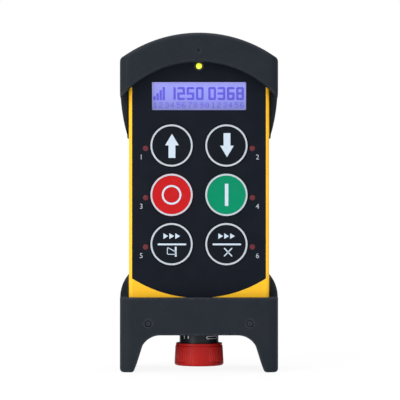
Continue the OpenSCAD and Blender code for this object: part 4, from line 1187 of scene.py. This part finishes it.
LARGE_DIGITS = {
    "0": "abcdef", "1": "bc", "2": "abged", "3": "abgcd", "5": "afgcd", "6": "afgcde", "8": "abcdefg",
}
SIGNAL_BARS, BAR_STEP, BAR_W, LEAST_BAR = 4, 4, 3, 5


def block(column, row, across, down):
    """A block of dots."""
    return {(column + i, row + j) for i in range(across) for j in range(down)}


def large_digit(digit, column, row):
    """The dots of a large digit made of bars, without its four corner dots."""
    dots = set()
    for bar in LARGE_DIGITS[digit]:
        left, top, across, down = DIGIT_BARS[bar]
        dots |= block(column + left, row + top, across, down)
    return dots - {(x, y) for x in (column, column + WIDE - 1) for y in (row, row + TALL - 1)}


def small_digit(digit, column, row):
    """The dots of a small digit."""
    lines = SMALL_DIGITS[digit].split()
    return {(column + k, row + j) for j, line in enumerate(lines) for k in range(5) if line[k] == "1"}


def dot_points(dots):
    """Places on the display for dots."""
    pitch = DOT_PITCH * MM
    left = panel_centre.x + (0.5 - DOT_COLUMNS / 2) * pitch
    top = panel_centre.z + (DOT_ROWS / 2 - 0.5) * pitch
    layer_y = panel_low.y - DOT_AHEAD * MM
    return [(left + column * pitch, layer_y, top - row * pitch) for column, row in sorted(dots)]


large = set()
for step in range(SIGNAL_BARS):
    height = LEAST_BAR + BAR_STEP * step
    large |= block(1 + BAR_STEP * step, LARGE_ROW + TALL - height, BAR_W, height)
for start, text in ((20, "1250"), (72, "0368")):
    for i, digit in enumerate(text):
        large |= large_digit(digit, start + LARGE_STEP * i, LARGE_ROW)
small = set()
for i, digit in enumerate("1234567890123456"):
    small |= small_digit(digit, 1 + SMALL_STEP * i + i // 2, SMALL_ROW)
for name, dots, side in (("display_large_row", large, 0.41), ("display_small_row", small, 0.4)):
    sizes = {"Side": side * MM, "Thickness": DOT_T * MM}
    grown_piece(name, dot_points(dots), DOTS, sizes, "case", "display_blue", material=DOT_INK)


# The stop button: the cap with its ribs, and the marks on its collar, in millimetres

CAP_R, CAP_RIM_R, COLLAR_HOLE_R, SHAFT_HOLE_R = 13.5, 12.7, 11.2, 3.06
CAP_DISH, CAP_DISH_INSET, CAP_RIM_H = 0.35, 2.6, 1.3
CAP_TAPER, CAP_TAPER_H, CAP_STEP_W, CAP_STEP_H, CAP_UPRIGHT_H = 0.1, 1.6, 0.28, 0.3, 1.4
COLLAR_ROOM, SHAFT_ROOM = 4.5, 4.0
RIBS_PER_GROUP, RIB_STEP, RIB_TURN = 9, 6, 51
RIB_R, RIB_LENGTH, RIB_MIDDLE, RIB_SINK = 0.45, 8.0, 6.3, 0.05

# Corners of (radius, height, rounding): the dished face, the rim, and the rooms for collar and shaft
cap_low, cap_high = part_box("stop_cap")
collar_low, collar_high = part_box("stop_collar")
low, top = cap_low.z / MM, cap_high.z / MM
floor_z = collar_low.z / MM - COLLAR_ROOM
cap_profile = rounded_profile([
    (0, low + CAP_DISH, 0), (CAP_R - CAP_DISH_INSET, low, 0.6), (CAP_R - CAP_TAPER, low, 1.2),
    (CAP_R, low + CAP_TAPER_H, 0.3), (CAP_RIM_R + CAP_STEP_W, top - CAP_RIM_H - CAP_STEP_H, 0.2),
    (CAP_RIM_R, top - CAP_RIM_H, 0.2),
    (CAP_RIM_R, top, 0.4), (COLLAR_HOLE_R, top, 0.3), (COLLAR_HOLE_R, floor_z, 0.4),
    (SHAFT_HOLE_R, floor_z, 0), (SHAFT_HOLE_R, floor_z - SHAFT_ROOM, 0), (0, floor_z - SHAFT_ROOM, 0),
], 6)
cap = turned(cap_profile, 128, Matrix.Identity(4))
piece_of("stop_cap_body", cap, "stop_twist", "cap_red", "stop_cap")
# The ribs carry a painted highlight in their lighter red
grown_piece(
    "stop_cap_ribs", [(0, 0, 0)], RIBS,
    {"Count": RIBS_PER_GROUP, "Step": math.radians(RIB_STEP), "First Turn": math.radians(RIB_TURN),
     "Ring Radius": (CAP_R + CAP_RIM_R) / 2 * MM - RIB_SINK * MM,
     "Middle Height": (low + RIB_MIDDLE) * MM, "Rib Radius": RIB_R * MM, "Rib Length": RIB_LENGTH * MM,
     "Slope": math.atan((CAP_R - CAP_RIM_R) / (top - low - CAP_UPRIGHT_H))},
    "stop_twist", "cap_red", material=HIGHLIT_RED_RIBS,
)

STRIP_W, DRUM_REACH = 0.4, 1.2
MARK_Z, TICK_Z, TICK_H, TICK_W = 17.7, 17.0, 1.6, 0.76


def wrapped(mesh, radius):
    """A flat mesh on the front, cut into upright strips and laid round an upright drum."""
    bm = bmesh.new()
    bm.from_mesh(mesh)
    bpy.data.meshes.remove(mesh)
    reach = int(radius / MM / STRIP_W * DRUM_REACH)
    for i in range(-reach, reach + 1):
        bmesh.ops.bisect_plane(
            bm, geom=[*bm.verts, *bm.edges, *bm.faces], dist=SAME_POINT,
            plane_co=(i * STRIP_W * MM, 0, 0), plane_no=(1, 0, 0),
        )
    for vertex in bm.verts:
        angle = vertex.co.x / radius
        depth = radius - vertex.co.y
        vertex.co.x = depth * math.sin(angle)
        vertex.co.y = -depth * math.cos(angle)
    return shaded(bm)


def tick(x):
    """An upright mark's outline."""
    left, right, tip = x - TICK_W / 2, x + TICK_W / 2, TICK_Z + TICK_H
    return [(left, TICK_Z), (right, TICK_Z), (right, tip), (left, tip)]


window_mark = [
    bar_loop((4.9, MARK_Z), (11.3, MARK_Z), 1.7),
    bar_loop((5.1, MARK_Z), (11.1, MARK_Z), 0.9),
]
ahead = front_place(0, -INK_AHEAD * MM, 0)
marks = [flat_mesh(loops, ahead) for loops in ([tick(-9.0)], [tick(-6.2)], window_mark)]
collar_marks = wrapped(joined(marks), collar_high.x)
piece_of("collar_marks", collar_marks, "case", "collar_black", material=COLLAR_INK)


# The return spring, a coil of wire with a mesh of its own

SPRING_WIRE_R, SPRING_TURNS = 0.45 * MM, 5.0

spring_low, spring_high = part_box("stop_spring")
spring_length = spring_high.z - spring_low.z
spring_piece = grown_piece(
    "return_spring", [(0, 0, spring_low.z + SPRING_WIRE_R)], COILS,
    {"Turns": SPRING_TURNS, "Coil Radius": spring_high.x - SPRING_WIRE_R, "Wire Radius": SPRING_WIRE_R,
     "Rise": spring_length - 2 * SPRING_WIRE_R},
    "case", "spring_steel", "stop_spring",
)
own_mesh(spring_piece)


# Screws, and the grip bars of the battery door, in millimetres

RECESS_SHARE, RECESS_DEPTH_SHARE = 0.52, 0.55
GRIP_COUNT, GRIP_PITCH, GRIP_R, GRIP_LENGTH, GRIP_SINK = 7, 2.6, 0.6, 22, 0.05


def solid_boxes(node):
    """The boxes of a node's separate solids, as pairs of corners."""
    bm = merged_copy(node)
    waiting = set(bm.verts)
    boxes = []
    while waiting:
        reached = [waiting.pop()]
        for vertex in reached:
            near = {edge.other_vert(vertex) for edge in vertex.link_edges} & waiting
            waiting -= near
            reached.extend(near)
        places = [vertex.co for vertex in reached]
        boxes.append(tuple(
            Vector(end(place[axis] for place in places) for axis in range(3)) for end in (min, max)
        ))
    bm.free()
    return sorted(boxes, key=lambda box: (round(box[0].z, 5), box[0].x, box[0].y))


def screws(name, node, body, head_h, shank_r):
    """A node's screws, each in the place of its own solid, with its head towards the outside."""
    slot = frame_slots[node]
    boxes = solid_boxes(node)
    at_front = [box for box in boxes if node == "bumper_screws" and box[0].y < 0]
    at_rear = [box for box in boxes if box not in at_front]
    meshes = []
    for group, turn in ((at_rear, -math.pi / 2), (at_front, math.pi / 2)):
        if not group:
            continue
        low, high = group[0]
        head_r = (high.x - low.x) / 2
        outer = low.y if turn > 0 else high.y
        meshes.append(grown(
            [((a.x + b.x) / 2, outer, (a.z + b.z) / 2) for a, b in group], SCREWS,
            {"Head Radius": head_r, "Head Height": head_h * MM, "Recess Radius": head_r * RECESS_SHARE,
             "Recess Depth": head_h * RECESS_DEPTH_SHARE * MM, "Shank Radius": shank_r * MM,
             "Shank Length": high.y - low.y - head_h * HEAD_TOP * MM, "Turn": (turn, 0, 0)},
            FINISHES[slot],
        ))
    piece_of(name, joined(meshes), body, slot, node)


screws("shell_screw_set", "shell_screws", "case", head_h=2.0, shank_r=1.4)
screws("bumper_screw_set", "bumper_screws", "case", head_h=1.3, shank_r=1.1)
screws("board_screw_set", "board_screws", "case", head_h=1.4, shank_r=1.0)
screws("door_screw_set", "battery_door_screws", "battery_door", head_h=0.8, shank_r=1.2)

door_low, door_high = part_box("battery_door")
first_grip_z = (door_low.z + door_high.z) / 2 - (GRIP_COUNT - 1) / 2 * GRIP_PITCH * MM
grown_piece(
    "battery_door_grips", [(0, door_high.y - GRIP_SINK * MM, first_grip_z)], GRIPS,
    {"Count": GRIP_COUNT, "Pitch": GRIP_PITCH * MM, "Bar Radius": GRIP_R * MM,
     "Bar Length": GRIP_LENGTH * MM},
    "battery_door", "case_yellow",
)


# Camera, light and floor

CAMERA_PLACE, CAMERA_LENS = (0.00054, -1.175, 0.0928), 192.3
FLOOR_REACH = 6.0
WHITE = (1, 1, 1, 1)

scene = bpy.context.scene
scene.view_settings.view_transform = "Standard"

camera_data = bpy.data.cameras.new("camera")
camera_data.sensor_width = 36
camera_data.lens = CAMERA_LENS
camera = placed_object("camera", camera_data)
camera.location = CAMERA_PLACE
camera.rotation_euler = FRONT_TURN
scene.camera = camera

# Each lamp's place, the height it looks at, its width, height and power, and its colour
SOFT_LAMPS = {
    "left soft box": ((-0.5, -0.62, 0.72), 0.09, 0.45, 0.55, 4.7, (1.0, 0.985, 0.96)),
    "right soft box": ((0.9, -0.75, 0.45), 0.09, 0.5, 0.7, 1.8, (0.96, 0.98, 1.0)),
    "low soft box": ((-0.3, -0.38, 0.05), 0.02, 0.18, 0.08, 0.5, (1.0, 1.0, 1.0)),
    "top soft box": ((0.0, 0.05, 1.1), 0.1, 0.9, 0.7, 10.0, (1.0, 1.0, 1.0)),
}
for name, (place, target_z, width, height, power, colour) in SOFT_LAMPS.items():
    lamp = bpy.data.lights.new(name, "AREA")
    lamp.shape = "RECTANGLE"
    lamp.size = width
    lamp.size_y = height
    lamp.energy = power
    lamp.color = colour
    holder = placed_object(name, lamp)
    holder.location = place
    holder.rotation_euler = (Vector((0, 0, target_z)) - Vector(place)).to_track_quat("-Z", "Y").to_euler()


def background_share(tree):
    """1 for the rays that should see a plain white background."""
    ray = add_node("ShaderNodeLightPath", tree=tree).outputs
    seen = calculate("MAXIMUM", ray["Is Camera Ray"], ray["Is Glossy Ray"])
    return calculate("MAXIMUM", seen, ray["Is Transmission Ray"])


world = bpy.data.worlds.new("studio")
world.use_nodes = True
scene.world = world
tree = world.node_tree
tree.nodes.clear()
seen_white = shade_node("Background", Color=WHITE, Strength=1.0, tree=tree)
studio_fill = shade_node("Background", Color=(0.96, 0.98, 1.0, 1), Strength=0.36, tree=tree)
both = shade_node("MixShader", background_share(tree), studio_fill, seen_white)
add_node("ShaderNodeOutputWorld", both)


def pale_floor():
    """A pale floor that keeps a faint shadow and a faint reflection of what stands on it."""
    material, tree = empty_material("pale floor")
    matt = shade_node("BsdfDiffuse", Color=(0.86, 0.86, 0.87, 1), tree=tree)
    sheen = shade_node("BsdfGlossy", Color=WHITE, Roughness=0.12, tree=tree)
    white = shade_node("Emission", Color=WHITE, Strength=1.0, tree=tree)
    polished = shade_node("MixShader", 0.12, matt, sheen)
    off_middle = add_node("ShaderNodeVectorMath", own_place(tree), operation="LENGTH")
    whiteness = spread(off_middle.outputs["Value"], 0.1, 0.6, 0.9, 1.0)
    share = times(background_share(tree), whiteness)
    add_node("ShaderNodeOutputMaterial", Surface=shade_node("MixShader", share, polished, white))
    return material


floor_mesh = bpy.data.meshes.new("floor")
floor_corners = [(x * FLOOR_REACH, y * FLOOR_REACH, 0) for x, y in ((-1, -1), (1, -1), (1, 1), (-1, 1))]
floor_mesh.from_pydata(floor_corners, [], [(0, 1, 2, 3)])
floor_mesh.materials.append(pale_floor())
floor = placed_object("floor", floor_mesh)
